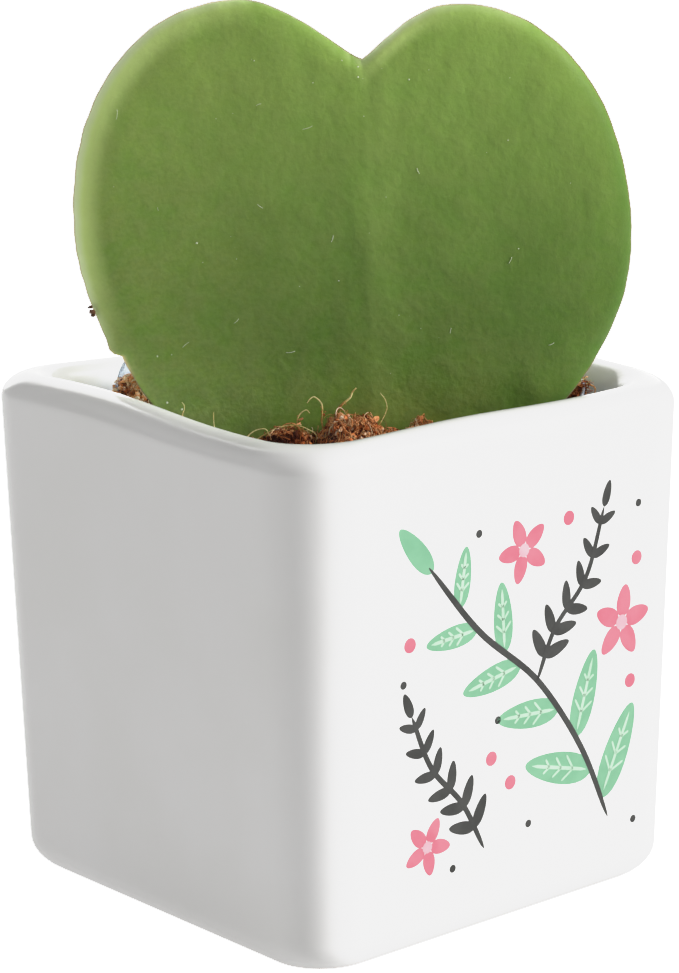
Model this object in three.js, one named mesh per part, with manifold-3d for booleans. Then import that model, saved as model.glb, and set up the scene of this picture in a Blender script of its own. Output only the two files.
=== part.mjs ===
// A potted sweetheart hoya: one heart-shaped leaf rooted in a plug of coconut coir, which
// stands in a thin clear grow cup inside a small glazed cube pot.
// Millimetres, +Z up. The origin is in the middle of the pot's underside, at its height,
// and the pot's front face looks along -Y.

import * as THREE from 'three';
import { mergeVertices } from 'three/addons/utils/BufferGeometryUtils.js';
import Module from 'manifold-3d';

const wasm = await Module();
wasm.setup();

const CLEARANCE = 0.3;            // between pieces that touch in the real object

// The pot: its outside
const POT_SIDE = 70;              // across the rim, flat to flat
const POT_HEIGHT = 69.4;
const POT_TAPER = 2.07;           // how far each wall draws in from the rim to the foot
const CORNER_AT_FOOT = 7.5;       // radius of the upright edges
const CORNER_AT_RIM = 9.4;
const CORNER_PULL = 0.12;         // how much of a rounded edge's inset comes off that radius
const FOOT_ROUND = 4.3;           // radius of the bottom edges
const FOOT_RECESS_HALF = 23;      // the shallow recess that leaves a foot ring to stand on
const FOOT_RECESS_CORNER = 8;
const FOOT_RECESS_DEPTH = 1.2;
const FOOT_RECESS_SLOPE = 1;      // how far its side leans in

// The pot: its rim and inside
const RIM_OUTER_ROUND = 3.4;
const RIM_INNER_ROUND = 2.8;
const INSIDE_CORNER = 6.2;
const INSIDE_TAPER = 1.2;         // how far the inside draws in from the rim to the floor
const POT_FLOOR = 6;
const FLOOR_FILLET = 3.5;
const RIM_WAVES = [               // the fired rim isn't quite level: waves that go once to four times
  [0.14, 0.26],                   // round it, each with its cosine's and its sine's height
  [0.47, -0.62],
  [0.29, 0.13],
  [0.2, -0.24],
];

// The grow cup
const CUP_HALF_AT_RIM = 28;       // half its width, flat to flat
const CUP_HALF_AT_FLOOR = 25.2;
const CUP_CORNER = 15.5;
const CUP_WALL = 0.7;
const CUP_RIM = 67.4;             // height of its rim above the surface the pot stands on
const CUP_SHIFT = [0.4, -0.4];    // it stands a little off the pot's middle
const CUP_FOOT_ROUND = 2;
const DRAIN_RADIUS = 2.5;
const DRAIN_COUNT = 4;
const DRAIN_REACH = 11;           // from the cup's middle to its drain holes

// The leaf: its pose
const LEAF_AZIMUTH = -39;         // degrees, the way its face looks, from -Y towards -X
const LEAF_LEAN = 3;              // degrees, backwards
const LEAF_TILT = 3.2;            // degrees, in its own plane, towards the pot's -X side
const LEAF_FORWARD = 8.5;         // from the pot's axis towards the side its face looks to
const LEAF_ASIDE = 6.5;           // along its face, to the right
const LEAF_ORIGIN_HEIGHT = 64;

// The leaf: its blade and stalk, in its own frame, x to the right and y along the midrib
const BLADE_THICKNESS = 3.6;
const BLADE_EDGE_ROUND = 2.2;
const BLADE_MIDDLE = new THREE.Vector2(-1.5, 24);
const BLADE_CURL = 0.0020;        // the sides bend back by this times the square of x
const BLADE_ARCH = 0.0010;        // the top bends back by this times the square of y
const STALK_RADIUS = 2.2;
const STALK_TAPER = 0.8;          // its lower end against its upper end
const STALK_TOP = -9;
const STALK_END = -31;
const LEAF_ROOM = 0.35;           // what the hole in the coir leaves all round the leaf
const OUTLINE_ROOM = 1.6;         // times that at the outline, which slants from its middle

// The coir plug
const SOIL_FRONT = 62.3;          // height of the coir in front of the leaf
const SOIL_RISE = 4.7;            // how much higher it lies behind the leaf
const SOIL_RISE_REACH = 15;       // and how far behind the leaf it gets there
const SOIL_SHOULDER = 1.6;        // how far the plug's top edge is worn down
const BROAD_LUMPS = 0.35;         // heights of the two sizes of lumps in it
const SMALL_LUMPS = 0.2;
const SOIL_MOUNDS = [             // places right along the leaf and behind its plane, and reaches
  { right: 1.3, behind: -5.5, along: 3.6, across: 4.2, height: 3.7 },
  { right: -6.4, behind: -5.5, along: 3.4, across: 3.8, height: 2.1 },
  { right: 6.6, behind: -4.8, along: 3.2, across: 2.6, height: 1.6 },
  { right: 11.2, behind: -4.5, along: 1.8, across: 2.4, height: 2.9 },
  { right: 30.9, behind: 5.2, along: 3.6, across: 4.2, height: 4.6 },
  { right: -28.5, behind: 15, along: 5.6, across: 6, height: 2.4 },
];
const STRAND_RADIUS = 0.42;
const STRAND_COUNT = 26;
const STRAND_SEED = 20417;
const STRAND_FIELD = 23;          // no loose fibre lies further than this from the pot's axis
const STRAND_LEAF_GAP = 4;        // or nearer than this to the leaf's plane
const STRAND_SINK = 1.4;          // how deep its ends are in the coir

// Mesh steps
const ARC_STEPS = 6;              // along each rounded corner
const FLAT_STEPS = 5;             // along each flat between two corners
const RING = 4 * (ARC_STEPS + FLAT_STEPS);
const WALL_ROWS = [24, 42, 54];   // heights of the rows of points between the pot's foot and rim

// Helpers: closed solids

// A geometry's points and faces, with shared points merged and faces of no area dropped
function toManifold(geometry) {
  const bare = geometry.clone();
  bare.deleteAttribute('normal');
  bare.deleteAttribute('uv');
  const merged = mergeVertices(bare);
  const triangles = [];
  for (let k = 0; k < merged.index.count; k += 3) {
    const [a, b, c] = [0, 1, 2].map((j) => merged.index.getX(k + j));
    if (a !== b && b !== c && c !== a) triangles.push(a, b, c);
  }
  return new wasm.Manifold(new wasm.Mesh({
    numProp: 3,
    vertProperties: new Float32Array(merged.attributes.position.array),
    triVerts: new Uint32Array(triangles),
  }));
}

function toGeometry(manifold) {
  const mesh = manifold.getMesh();
  const geometry = new THREE.BufferGeometry();
  geometry.setAttribute('position', new THREE.BufferAttribute(mesh.vertProperties, 3));
  geometry.setIndex(new THREE.BufferAttribute(mesh.triVerts, 1));
  geometry.computeVertexNormals();
  return geometry;
}

// A turned form whose points are then moved: place(row, k) gives the point of a row at step k.
// The first and last rows lie on the axis, so the form is closed.
function mouldedLathe(rows, steps, place) {
  const profile = rows.map((row, k) => new THREE.Vector2(k === 0 || k === rows.length - 1 ? 0 : 1, k));
  const geometry = new THREE.LatheGeometry(profile, steps);
  const position = geometry.attributes.position;
  for (let k = 0; k <= steps; k += 1) {
    rows.forEach((row, r) => {
      const p = place(row, k % steps);
      position.setXYZ(k * rows.length + r, p.x, p.y, p.z);
    });
  }
  return geometry;
}

// A point of a rounded square, numbered round from its +X +Y corner
function squarePoint(half, corner, k) {
  const perSide = ARC_STEPS + FLAT_STEPS;
  const step = k % perSide;
  const core = half - corner;
  const point = new THREE.Vector2();
  if (step <= ARC_STEPS) {
    const angle = (Math.PI / 2) * (step / ARC_STEPS);
    point.set(core + corner * Math.cos(angle), core + corner * Math.sin(angle));
  } else {
    point.set(core * (1 - 2 * ((step - ARC_STEPS) / FLAT_STEPS)), half);
  }
  return point.rotateAround(new THREE.Vector2(0, 0), (Math.PI / 2) * Math.floor(k / perSide));
}

const lerp = THREE.MathUtils.lerp;
const smoothstep = THREE.MathUtils.smoothstep;
const radians = THREE.MathUtils.degToRad;

// Steps of a quarter turn, from the first to the last
function quarterTurn(steps, first = 0) {
  return Array.from({ length: steps + 1 - first }, (_, k) => (Math.PI / 2) * ((k + first) / steps));
}

function named(name, geometry, color, roughness, more = {}) {
  const material = new THREE.MeshStandardMaterial({ color, roughness, metalness: 0, ...more });
  const mesh = new THREE.Mesh(geometry, material);
  mesh.name = name;
  return mesh;
}

// The pot

// How far the rim stands above or below its mean height, round the pot
function rimWave(x, y) {
  const a = Math.atan2(y, x);
  const waves = RIM_WAVES.map(([c, s], k) => c * Math.cos((k + 1) * a) + s * Math.sin((k + 1) * a));
  return waves.reduce((sum, wave) => sum + wave, 0);
}

function insideHalf(z) {
  const atRim = POT_SIDE / 2 - RIM_OUTER_ROUND - RIM_INNER_ROUND;
  return atRim - INSIDE_TAPER * (1 - z / POT_HEIGHT);
}

// From the middle of the underside, up the outside, over the rim and down to the floor's middle
function potRows() {
  const outerHalf = (z) => POT_SIDE / 2 - POT_TAPER * (1 - z / POT_HEIGHT);
  const outerCorner = (z) => lerp(CORNER_AT_FOOT, CORNER_AT_RIM, z / POT_HEIGHT);
  const outer = (z, inset) => ({
    half: outerHalf(z) - inset,
    corner: outerCorner(z) - CORNER_PULL * inset,
    z,
  });
  const inner = (z, inset = 0) => ({ half: insideHalf(z) - inset, corner: INSIDE_CORNER - inset, z });
  const recess = (inset, z) => ({ half: FOOT_RECESS_HALF - inset, corner: FOOT_RECESS_CORNER - inset, z });
  const rows = [
    { half: 0, corner: 0, z: FOOT_RECESS_DEPTH },
    recess(FOOT_RECESS_SLOPE, FOOT_RECESS_DEPTH),
    recess(0, 0),
  ];
  for (const a of quarterTurn(5)) {
    rows.push(outer(FOOT_ROUND * (1 - Math.cos(a)), FOOT_ROUND * (1 - Math.sin(a))));
  }
  for (const z of WALL_ROWS) rows.push(outer(z, 0));
  for (const a of quarterTurn(5)) {
    rows.push(outer(POT_HEIGHT - RIM_OUTER_ROUND * (1 - Math.sin(a)), RIM_OUTER_ROUND * (1 - Math.cos(a))));
  }
  for (const a of quarterTurn(3, 1)) {
    rows.push(inner(POT_HEIGHT - RIM_INNER_ROUND * (1 - Math.cos(a)), -RIM_INNER_ROUND * (1 - Math.sin(a))));
  }
  for (const z of [...WALL_ROWS].reverse()) rows.push(inner(z));
  for (const a of quarterTurn(3)) {
    rows.push(inner(POT_FLOOR + FLOOR_FILLET * (1 - Math.sin(a)), FLOOR_FILLET * (1 - Math.cos(a))));
  }
  rows.push({ half: 0, corner: 0, z: POT_FLOOR });
  return rows;
}

function cubePot() {
  return mouldedLathe(potRows(), RING, (row, k) => {
    const p = squarePoint(row.half, row.corner, k);
    const lift = row.half > 0 ? rimWave(p.x, p.y) * (row.z / POT_HEIGHT) ** 4 : 0;
    return new THREE.Vector3(p.x, p.y, row.z + lift);
  });
}

// The grow cup

const CUP_BASE = POT_FLOOR + CLEARANCE;

function cupHalf(z) {
  return lerp(CUP_HALF_AT_FLOOR, CUP_HALF_AT_RIM, (z - CUP_BASE) / (CUP_RIM - CUP_BASE));
}

// A point of the cup's rounded square, or of the plug in it
function cupPlace(row, k) {
  const p = squarePoint(row.half, row.corner, k);
  return new THREE.Vector3(p.x + CUP_SHIFT[0], p.y + CUP_SHIFT[1], row.z);
}

function growCup() {
  const wallRow = (z, inset) => ({ half: cupHalf(z) - inset, corner: CUP_CORNER - inset, z });
  const footTop = CUP_BASE + CUP_FOOT_ROUND;
  const rows = [
    { half: 0, corner: 0, z: CUP_BASE },
    wallRow(CUP_BASE, CUP_FOOT_ROUND),
    wallRow(footTop, 0),
    wallRow(CUP_RIM, 0),
    wallRow(CUP_RIM, CUP_WALL),
    wallRow(footTop, CUP_WALL),
    wallRow(CUP_BASE + CUP_WALL, CUP_FOOT_ROUND + CUP_WALL),
    { half: 0, corner: 0, z: CUP_BASE + CUP_WALL },
  ];
  let cup = toManifold(mouldedLathe(rows, RING, cupPlace));
  for (let k = 0; k < DRAIN_COUNT; k += 1) {
    const angle = 2 * Math.PI * ((k + 0.5) / DRAIN_COUNT);
    const drain = new THREE.CylinderGeometry(DRAIN_RADIUS, DRAIN_RADIUS, 6 * CUP_WALL, 12);
    drain.rotateX(Math.PI / 2);
    drain.translate(
      CUP_SHIFT[0] + DRAIN_REACH * Math.cos(angle),
      CUP_SHIFT[1] + DRAIN_REACH * Math.sin(angle),
      CUP_BASE,
    );
    cup = cup.subtract(toManifold(drain));
  }
  return toGeometry(cup);
}

// The leaf

// The heart's outline, from the notch round its left side to the tip and up its right side
function heartOutline() {
  const v = (x, y) => new THREE.Vector2(x, y);
  const notch = v(0.1, 48.4);
  const tip = v(0, -21);
  const leftTop = v(-16.2, 57.2);
  const leftSide = v(-39.4, 28);
  const rightTop = v(12.7, 54.7);
  const rightSide = v(34.3, 24.9);
  const arcs = [
    [notch, v(-2.2, 48.9), v(-9.2, 57.2), leftTop, 4],
    [leftTop, v(-30.8, 57.2), v(-39.4, 43.9), leftSide, 8],
    [leftSide, v(-39.4, 13.7), v(-27.4, -7.1), tip, 13],
    [tip, v(15.9, -3.6), v(34.3, 4.3), rightSide, 13],
    [rightSide, v(34.3, 45.5), v(22.2, 54.7), rightTop, 8],
    [rightTop, v(7.9, 54.7), v(5.5, 52.5), notch, 4],
  ];
  return arcs.flatMap(([a, b, c, d, steps]) => new THREE.CubicBezierCurve(a, b, c, d).getPoints(steps).slice(1));
}

// How far the blade's middle surface lies behind the plane it stands in
function bladeBend(x, y) {
  return BLADE_CURL * x * x + BLADE_ARCH * Math.max(y, 0) ** 2;
}

// The blade with its stalk, or with spare > 0 the room that they need
function leafSolid(spare) {
  const outline = heartOutline();
  const shares = [0, 0.35, 0.65, 0.84, 0.94, 0.975, 0.994];
  const back = shares.map((share) => ({ share, side: -1 }));
  const front = shares.map((share) => ({ share, side: 1 })).reverse();
  const rows = [...back, { share: 1, side: 0 }, ...front];
  const blade = mouldedLathe(rows, outline.length, (row, k) => {
    const edge = outline[k].clone().sub(BLADE_MIDDLE);
    const grown = edge.clone().setLength(edge.length() + OUTLINE_ROOM * spare);
    const spot = grown.multiplyScalar(row.share).add(BLADE_MIDDLE);
    const inward = Math.min(((1 - row.share) * edge.length()) / BLADE_EDGE_ROUND, 1);
    const half = (BLADE_THICKNESS / 2) * Math.sqrt(1 - (1 - inward) ** 2) + spare;
    return new THREE.Vector3(spot.x, spot.y, row.side * half - bladeBend(spot.x, spot.y));
  });
  const upper = STALK_RADIUS + spare;
  const lower = STALK_TAPER * STALK_RADIUS + spare;
  const stalk = new THREE.CylinderGeometry(upper, lower, STALK_TOP - STALK_END + 2 * spare, 10);
  stalk.translate(0, (STALK_TOP + STALK_END) / 2, 0);
  const solid = toGeometry(toManifold(blade).add(toManifold(stalk)));
  return solid.rotateZ(radians(LEAF_TILT));
}

function leafPose() {
  const turn = new THREE.Euler(Math.PI / 2 - radians(LEAF_LEAN), 0, radians(LEAF_AZIMUTH), 'ZXY');
  const pose = new THREE.Matrix4().makeRotationFromEuler(turn);
  const azimuth = radians(LEAF_AZIMUTH);
  return pose.setPosition(
    LEAF_FORWARD * Math.sin(azimuth) + LEAF_ASIDE * Math.cos(azimuth),
    -LEAF_FORWARD * Math.cos(azimuth) + LEAF_ASIDE * Math.sin(azimuth),
    LEAF_ORIGIN_HEIGHT,
  );
}

// The coir plug

// Distances of a spot from the leaf's plane: behind it, and to the right along it
function fromLeaf(x, y) {
  const azimuth = radians(LEAF_AZIMUTH);
  return {
    behind: -x * Math.sin(azimuth) + y * Math.cos(azimuth) + LEAF_FORWARD,
    right: x * Math.cos(azimuth) + y * Math.sin(azimuth),
  };
}

// Height of the coir: low in front of the leaf, higher behind it, with mounds whose fall is
// steeper along the leaf than across it
function soilHeight(x, y) {
  const { behind, right } = fromLeaf(x, y);
  let z = SOIL_FRONT + SOIL_RISE * smoothstep(behind, 0, SOIL_RISE_REACH);
  for (const mound of SOIL_MOUNDS) {
    const [u, v] = [(right - mound.right) / mound.along, (behind - mound.behind) / mound.across];
    z += mound.height * Math.exp(-(u ** 4) - v ** 2);
  }
  const broadLumps = BROAD_LUMPS * Math.sin(0.62 * x + 0.25 * y + 1) * Math.cos(0.53 * y - 0.31 * x);
  const smallLumps = SMALL_LUMPS * Math.sin(1.25 * x - 0.4) * Math.sin(1.1 * y + 0.7);
  return z + broadLumps + smallLumps;
}

// A short tube along a smooth line through the given points
function strandTube(points, radius) {
  const section = new THREE.Shape();
  section.absarc(0, 0, radius, 0, 2 * Math.PI);
  const path = new THREE.CatmullRomCurve3(points);
  return new THREE.ExtrudeGeometry(section, { steps: 6, curveSegments: 2, bevelEnabled: false, extrudePath: path });
}

// The long fibres that curl up in front of the leaf, each as spots of x, y and z
const CURLED_FIBRES = [
  [[-9.5, -8.9, 63.5], [-9.4, -8.7, 66.6], [-9.6, -8.6, 68.4], [-10.3, -8.1, 68.9], [-10.9, -7.6, 68.1]],
  [[-12.0, -7.0, 63.5], [-11.9, -6.9, 66.2], [-11.3, -7.3, 67.1], [-10.6, -7.9, 66.6]],
  [[-8.4, -10.5, 64.5], [-7.4, -10.9, 68.0], [-6.6, -11.2, 68.9], [-5.9, -11.6, 70.0]],
  [[-18.6, -5.6, 61.8], [-16.6, -7.2, 65.3], [-13.7, -9.4, 65.7], [-11.9, -10.9, 62.9]],
];

// Seeded draws between two limits
function drawer(seed) {
  let state = seed;
  return (low, high) => {
    state = (state * 1664525 + 1013904223) % 2 ** 32;
    return lerp(low, high, state / 2 ** 32);
  };
}

// Loops of fibre that lie on the coir, both ends sunk in it, clear of the leaf and the cup
function looseFibres() {
  const draw = drawer(STRAND_SEED);
  const fibres = [];
  while (fibres.length < STRAND_COUNT) {
    const [x, y, heading, length] = [draw(-21, 21), draw(-21, 21), draw(0, Math.PI), draw(2.5, 4.5)];
    const [dx, dy] = [length * Math.cos(heading), length * Math.sin(heading)];
    const lift = draw(0.5, 1.2);
    const ends = [[x - dx, y - dy], [x + dx, y + dy]];
    const [first, second] = ends.map(([a, b]) => fromLeaf(a, b).behind);
    const inField = ends.every(([a, b]) => Math.hypot(a, b) < STRAND_FIELD);
    const offLeaf = first * second > 0 && Math.min(Math.abs(first), Math.abs(second)) > STRAND_LEAF_GAP;
    if (!inField || !offLeaf) continue;
    const at = (share, above) => {
      const [a, b] = [x + share * dx, y + share * dy];
      return new THREE.Vector3(a, b, soilHeight(a, b) + above);
    };
    fibres.push([at(-1, -STRAND_SINK), at(-0.5, 0.6 * lift), at(0.3, lift), at(1, -STRAND_SINK)]);
  }
  return fibres;
}

function coirPlug() {
  const bottom = CUP_BASE + CUP_WALL + CLEARANCE;
  const gap = CUP_WALL + CLEARANCE;
  const sideRow = (z, inset) => ({ half: cupHalf(z) - gap - inset, corner: CUP_CORNER - gap - inset, z });
  const topShares = [1, 0.97, 0.92, 0.86, 0.79, 0.72, 0.65, 0.58, 0.5, 0.42, 0.34, 0.25, 0.15, 0];
  const edge = sideRow(SOIL_FRONT - SOIL_SHOULDER, 0);
  const rows = [
    { half: 0, corner: 0, z: bottom },
    sideRow(bottom, CUP_FOOT_ROUND + CUP_WALL),
    sideRow(bottom + CUP_FOOT_ROUND, 0),
    ...topShares.map((share) => ({ ...edge, share })),
  ];
  const body = mouldedLathe(rows, RING, (row, k) => {
    const p = cupPlace(row, k);
    if (row.share === undefined) return p;
    p.x = lerp(CUP_SHIFT[0], p.x, row.share);
    p.y = lerp(CUP_SHIFT[1], p.y, row.share);
    p.z = soilHeight(p.x, p.y) - SOIL_SHOULDER * smoothstep(row.share, 0.85, 1);
    return p;
  });
  let plug = toManifold(body);
  for (const spots of CURLED_FIBRES) {
    plug = plug.add(toManifold(strandTube(spots.map((s) => new THREE.Vector3(...s)), STRAND_RADIUS)));
  }
  for (const spots of looseFibres()) {
    plug = plug.add(toManifold(strandTube(spots, STRAND_RADIUS)));
  }
  plug = plug.subtract(toManifold(leafSolid(LEAF_ROOM).applyMatrix4(leafPose())));
  // A loose scrap that the leaf cuts off is dropped
  const pieces = plug.decompose().sort((a, b) => b.volume() - a.volume());
  return toGeometry(pieces[0]);
}

// The object

const leaf = named('heart_leaf', leafSolid(0), 0x647f3a, 0.45);
leaf.applyMatrix4(leafPose());

const plant = new THREE.Group();
plant.add(
  named('cube_pot', cubePot(), 0xf2f1ee, 0.12),
  named('grow_cup', growCup(), 0xe6edf2, 0.15, { transparent: true, opacity: 0.35 }),
  named('coir_plug', coirPlug(), 0x8a4f2c, 0.95),
  leaf,
);

export default plant;
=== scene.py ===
"""A potted sweetheart hoya: one heart-shaped leaf in a plug of coconut coir, in a thin clear
grow cup inside a small glazed cube pot with a printed front.

Places and sizes are in millimetres, with +Z up and the pot's printed face along -Y, and
closed_forms() turns them into metres. Every piece rides on the one body, root.
"""

import math

import bpy
import numpy as np
from mathutils import Matrix


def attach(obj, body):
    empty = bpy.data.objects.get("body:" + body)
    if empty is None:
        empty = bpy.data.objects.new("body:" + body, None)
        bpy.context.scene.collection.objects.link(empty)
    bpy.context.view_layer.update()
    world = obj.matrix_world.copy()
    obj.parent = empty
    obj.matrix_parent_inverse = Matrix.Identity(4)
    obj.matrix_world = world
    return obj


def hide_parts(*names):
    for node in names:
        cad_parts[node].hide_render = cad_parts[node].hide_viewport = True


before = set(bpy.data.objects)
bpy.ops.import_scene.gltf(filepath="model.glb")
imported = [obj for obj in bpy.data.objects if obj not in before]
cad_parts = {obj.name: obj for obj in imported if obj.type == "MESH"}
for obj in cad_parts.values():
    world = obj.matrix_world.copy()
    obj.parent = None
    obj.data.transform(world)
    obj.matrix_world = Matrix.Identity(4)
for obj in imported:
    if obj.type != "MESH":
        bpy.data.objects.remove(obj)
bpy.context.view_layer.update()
MM = 0.001

# The pot
POT_SIDE = 70.0
POT_HEIGHT = 69.4
POT_TAPER = 2.07
CORNER_AT_FOOT, CORNER_AT_RIM = 7.5, 9.4
CORNER_PULL = 0.12          # how much of a rounded edge's inset comes off the corner's radius
FOOT_ROUND = 4.3
RECESS_HALF, RECESS_CORNER, RECESS_DEPTH = 23.0, 8.0, 1.2
RIM_OUTER_ROUND, RIM_INNER_ROUND = 3.4, 2.8
RIM_WAVES = [(0.14, 0.26), (0.47, -0.62), (0.29, 0.13), (0.2, -0.24)]
INSIDE_CORNER, INSIDE_TAPER = 6.2, 1.2
POT_FLOOR, FLOOR_FILLET = 6.0, 3.5

# The grow cup and the plug in it
CUP_HALF_AT_RIM, CUP_HALF_AT_FLOOR = 28.0, 25.2
CUP_CORNER = 15.5
CUP_RIM = 67.4
CUP_BASE = POT_FLOOR + 0.3
CUP_SHIFT = (0.4, -0.4)
CUP_FOOT_ROUND = 2.0
FILM_WALL = 0.35
CREASE_AT, CREASE_WIDTH, CREASE_DEPTH = 145.0, 17.0, 2.4   # degrees round the cup, degrees, mm
REAR_AT, REAR_WIDTH, REAR_RISE, REAR_END = 117, 20, 4.6, 130   # the film's edge, in like units
SIDE_AT, SIDE_WIDTH, SIDE_RISE, FILM_DROP = -42, 8, 2.5, 1.5
FILM_LOOSE_FROM = 50.0      # the height above which the film is creased and buckled
PLUG_GAP = 1.0              # from the cup's outside to the coir
FOOT_DEPTH, FOOT_HALF = 14, 16   # the coir that shows in front of the leaf's foot, and to each side
SOIL_FRONT, SOIL_RISE, SOIL_RISE_REACH, SOIL_SHOULDER = 62.3, 4.7, 15.0, 1.6
SOIL_MOUNDS = [             # right along the leaf, behind its plane, reach along and across, height
    (1.3, -5.5, 3.6, 4.2, 3.7),
    (-6.4, -5.5, 3.4, 3.8, 2.1),
    (6.6, -4.8, 3.2, 2.6, 1.6),
    (11.2, -4.5, 1.8, 2.4, 2.9),
    (30.9, 5.2, 3.6, 4.2, 4.6),
    (-28.5, 15.0, 5.6, 6.0, 2.4),
]

# The leaf
LEAF_AZIMUTH, LEAF_LEAN, LEAF_TILT = (math.radians(a) for a in (-39.0, 3.0, 3.2))
LEAF_FORWARD, LEAF_ASIDE, LEAF_ORIGIN_HEIGHT = 8.5, 6.5, 64.0
BLADE_THICKNESS, BLADE_EDGE_ROUND = 3.6, 2.2
BLADE_MIDDLE = np.array([-1.5, 24.0])
BLADE_CURL, BLADE_ARCH = 0.0020, 0.0010
RIB_SLANT = 0.043           # how far the midrib leans to the right for each step up
LEAF_MAP, LEAF_MIDDLE = 100, (0.5, 0.4)   # millimetres to one of the skin's map, and its origin's place
STALK_RADIUS, STALK_TOP, STALK_END = 2.2, -9.0, -31.0

# Steps and rows of the finer surfaces
ARC_STEPS, FLAT_STEPS = 20, 20
HUB = (0.5, 0.2)            # half width and corner of the smallest ring, which closes a floor
FILM_LOW_ROWS, FILM_HIGH_ROWS = 8, 22
PLUG_SIDE_ROWS, PLUG_TOP_RINGS, PLUG_FOOT_ROWS = 10, 70, 5
FIBRE_ROWS, TANGLE_ROWS, CURL_ROWS, LINT_ROWS = 7, 12, 36, 9


# Shapes


def added(name, data, columns=None):
    """A new object in the scene. The columns are its three directions and its place."""
    made = bpy.data.objects.new(name, data)
    if columns:
        made.matrix_world = Matrix([*np.column_stack(columns).tolist(), [0, 0, 0, 1]])
    bpy.context.scene.collection.objects.link(made)
    return made


def closed_forms(name, rings, material, marks=None, uv=None, smooth=True):
    """A mesh of closed forms, from their rings of points (forms, rows, steps, 3).

    Each row's points go round once and join the next row's. The first and the last row are
    closed by a fan round their middle. marks holds one number for each point of the rings,
    by attribute name, and uv holds two.
    """
    forms, rows, steps = rings.shape[:3]
    count = forms * rows * steps

    def with_middles(values):
        first, last = values[:, 0].mean(1), values[:, -1].mean(1)
        return np.concatenate([values.reshape(count, -1), first, last])

    here = np.arange(count).reshape(forms, rows, steps)
    beside = np.roll(here, -1, axis=2)
    quads = np.stack([here[:, :-1], beside[:, :-1], beside[:, 1:], here[:, 1:]], -1)
    near = np.broadcast_to((count + np.arange(forms))[:, None], (forms, steps))
    start = np.stack([beside[:, 0], here[:, 0], near], -1)
    end = np.stack([here[:, -1], beside[:, -1], near + forms], -1)
    fans = np.concatenate([start.reshape(-1, 3), end.reshape(-1, 3)])
    faces = quads.reshape(-1, 4).tolist() + fans.tolist()
    mesh = bpy.data.meshes.new(name)
    mesh.from_pydata((with_middles(rings) * MM).tolist(), [], faces)
    if smooth:
        mesh.shade_smooth()
    for key, values in (marks or {}).items():
        flat = with_middles(np.broadcast_to(values, (forms, rows, steps))[..., None]).ravel()
        mesh.attributes.new(key, "FLOAT", "POINT").data.foreach_set("value", flat.astype(np.float32))
    if uv is not None:
        corners = np.empty(len(mesh.loops), np.int32)
        mesh.loops.foreach_get("vertex_index", corners)
        layer = mesh.uv_layers.new(name="across")
        layer.data.foreach_set("uv", with_middles(uv)[corners].astype(np.float32).ravel())
    mesh.materials.append(material)
    piece = added(name, mesh)
    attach(piece, "root")
    return piece


def ripples(x, y, length, seed, waves=9):
    """Unevenness between about -1 and 1: the sum of sine waves of about one length, in drawn
    directions and phases, over the root of their number."""
    draw = np.random.default_rng(seed)
    total = 0.0
    for heading, phase, stretch in draw.uniform((0, 0, 0.75), (2 * np.pi, 2 * np.pi, 1.3), (waves, 3)):
        pitch = 2 * np.pi / (length * stretch)
        total = total + np.sin(pitch * (x * math.cos(heading) + y * math.sin(heading)) + phase)
    return total / math.sqrt(waves)


def ease(value, low, high):
    """0 below low, 1 above high, and a smooth step between them."""
    t = np.clip((value - low) / (high - low), 0, 1)
    return t * t * (3 - 2 * t)


def bell(value, middle, width, power=2):
    """1 at the middle, falling to both sides: exp of minus the share of the width, to a power."""
    return np.exp(-(((value - middle) / width) ** power))


def unit(values):
    """Vectors brought to a length of one."""
    return values / np.linalg.norm(values, axis=-1, keepdims=True)


def square_rings(half, corner):
    """Rings of a square with round corners, for each half width and corner radius: a quarter
    arc and the flat after it, in steps that shorten towards the corners, turned by a quarter
    turn for each side."""
    half, corner = np.asarray(half, float)[:, None], np.asarray(corner, float)[:, None]
    arc = np.linspace(0, np.pi / 2, ARC_STEPS + 1)
    flat = np.cos(np.linspace(0, np.pi, FLAT_STEPS + 1))[1:-1]
    core = half - corner
    x = np.concatenate([core + corner * np.cos(arc), core * flat], 1)
    y = np.concatenate([core + corner * np.sin(arc), half + 0 * flat], 1)
    sides = (x, y), (-y, x), (-x, -y), (y, -x)
    return np.concatenate([np.stack(side, -1) for side in sides], 1)


def tubes(paths, radius, steps):
    """Rings round paths (forms, rows, 3): circles square to the path, whose first direction is
    carried on from row to row without twist."""
    way = unit(np.gradient(paths, axis=1))
    across = np.cross(way[:, 0], (0.31, 0.52, 0.79))
    normals = []
    for row in range(paths.shape[1]):
        across = unit(across - (across * way[:, row]).sum(-1, keepdims=True) * way[:, row])
        normals.append(across)
    normal = np.stack(normals, 1)
    side = np.cross(way, normal)
    turn = np.linspace(0, 2 * np.pi, steps, endpoint=False)[:, None]
    circle = normal[:, :, None] * np.cos(turn) + side[:, :, None] * np.sin(turn)
    return paths[:, :, None] + np.asarray(radius, float)[..., None, None] * circle


def smooth_path(spots, rows):
    """Points evenly spread in parameter on the Catmull-Rom curve through the spots."""
    p = np.asarray(spots, float)
    p = np.concatenate([[2 * p[0] - p[1]], p, [2 * p[-1] - p[-2]]])
    t = np.linspace(0, len(spots) - 1, rows)
    k = np.minimum(t.astype(int), len(spots) - 2)
    t = (t - k)[:, None]
    a, b, c, d = p[k], p[k + 1], p[k + 2], p[k + 3]
    square, cube = 2 * a - 5 * b + 4 * c - d, 3 * b - a - 3 * c + d
    return 0.5 * (2 * b + (c - a) * t + square * t**2 + cube * t**3)


# Shader groups and materials


def tint(red, green, blue):
    """A colour in the usual steps of 0 to 255, as the linear one that shaders take."""
    steps = np.array([red, green, blue]) / 255
    linear = np.where(steps <= 0.04045, steps / 12.92, ((steps + 0.055) / 1.055) ** 2.4)
    return (*linear.tolist(), 1.0)


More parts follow.
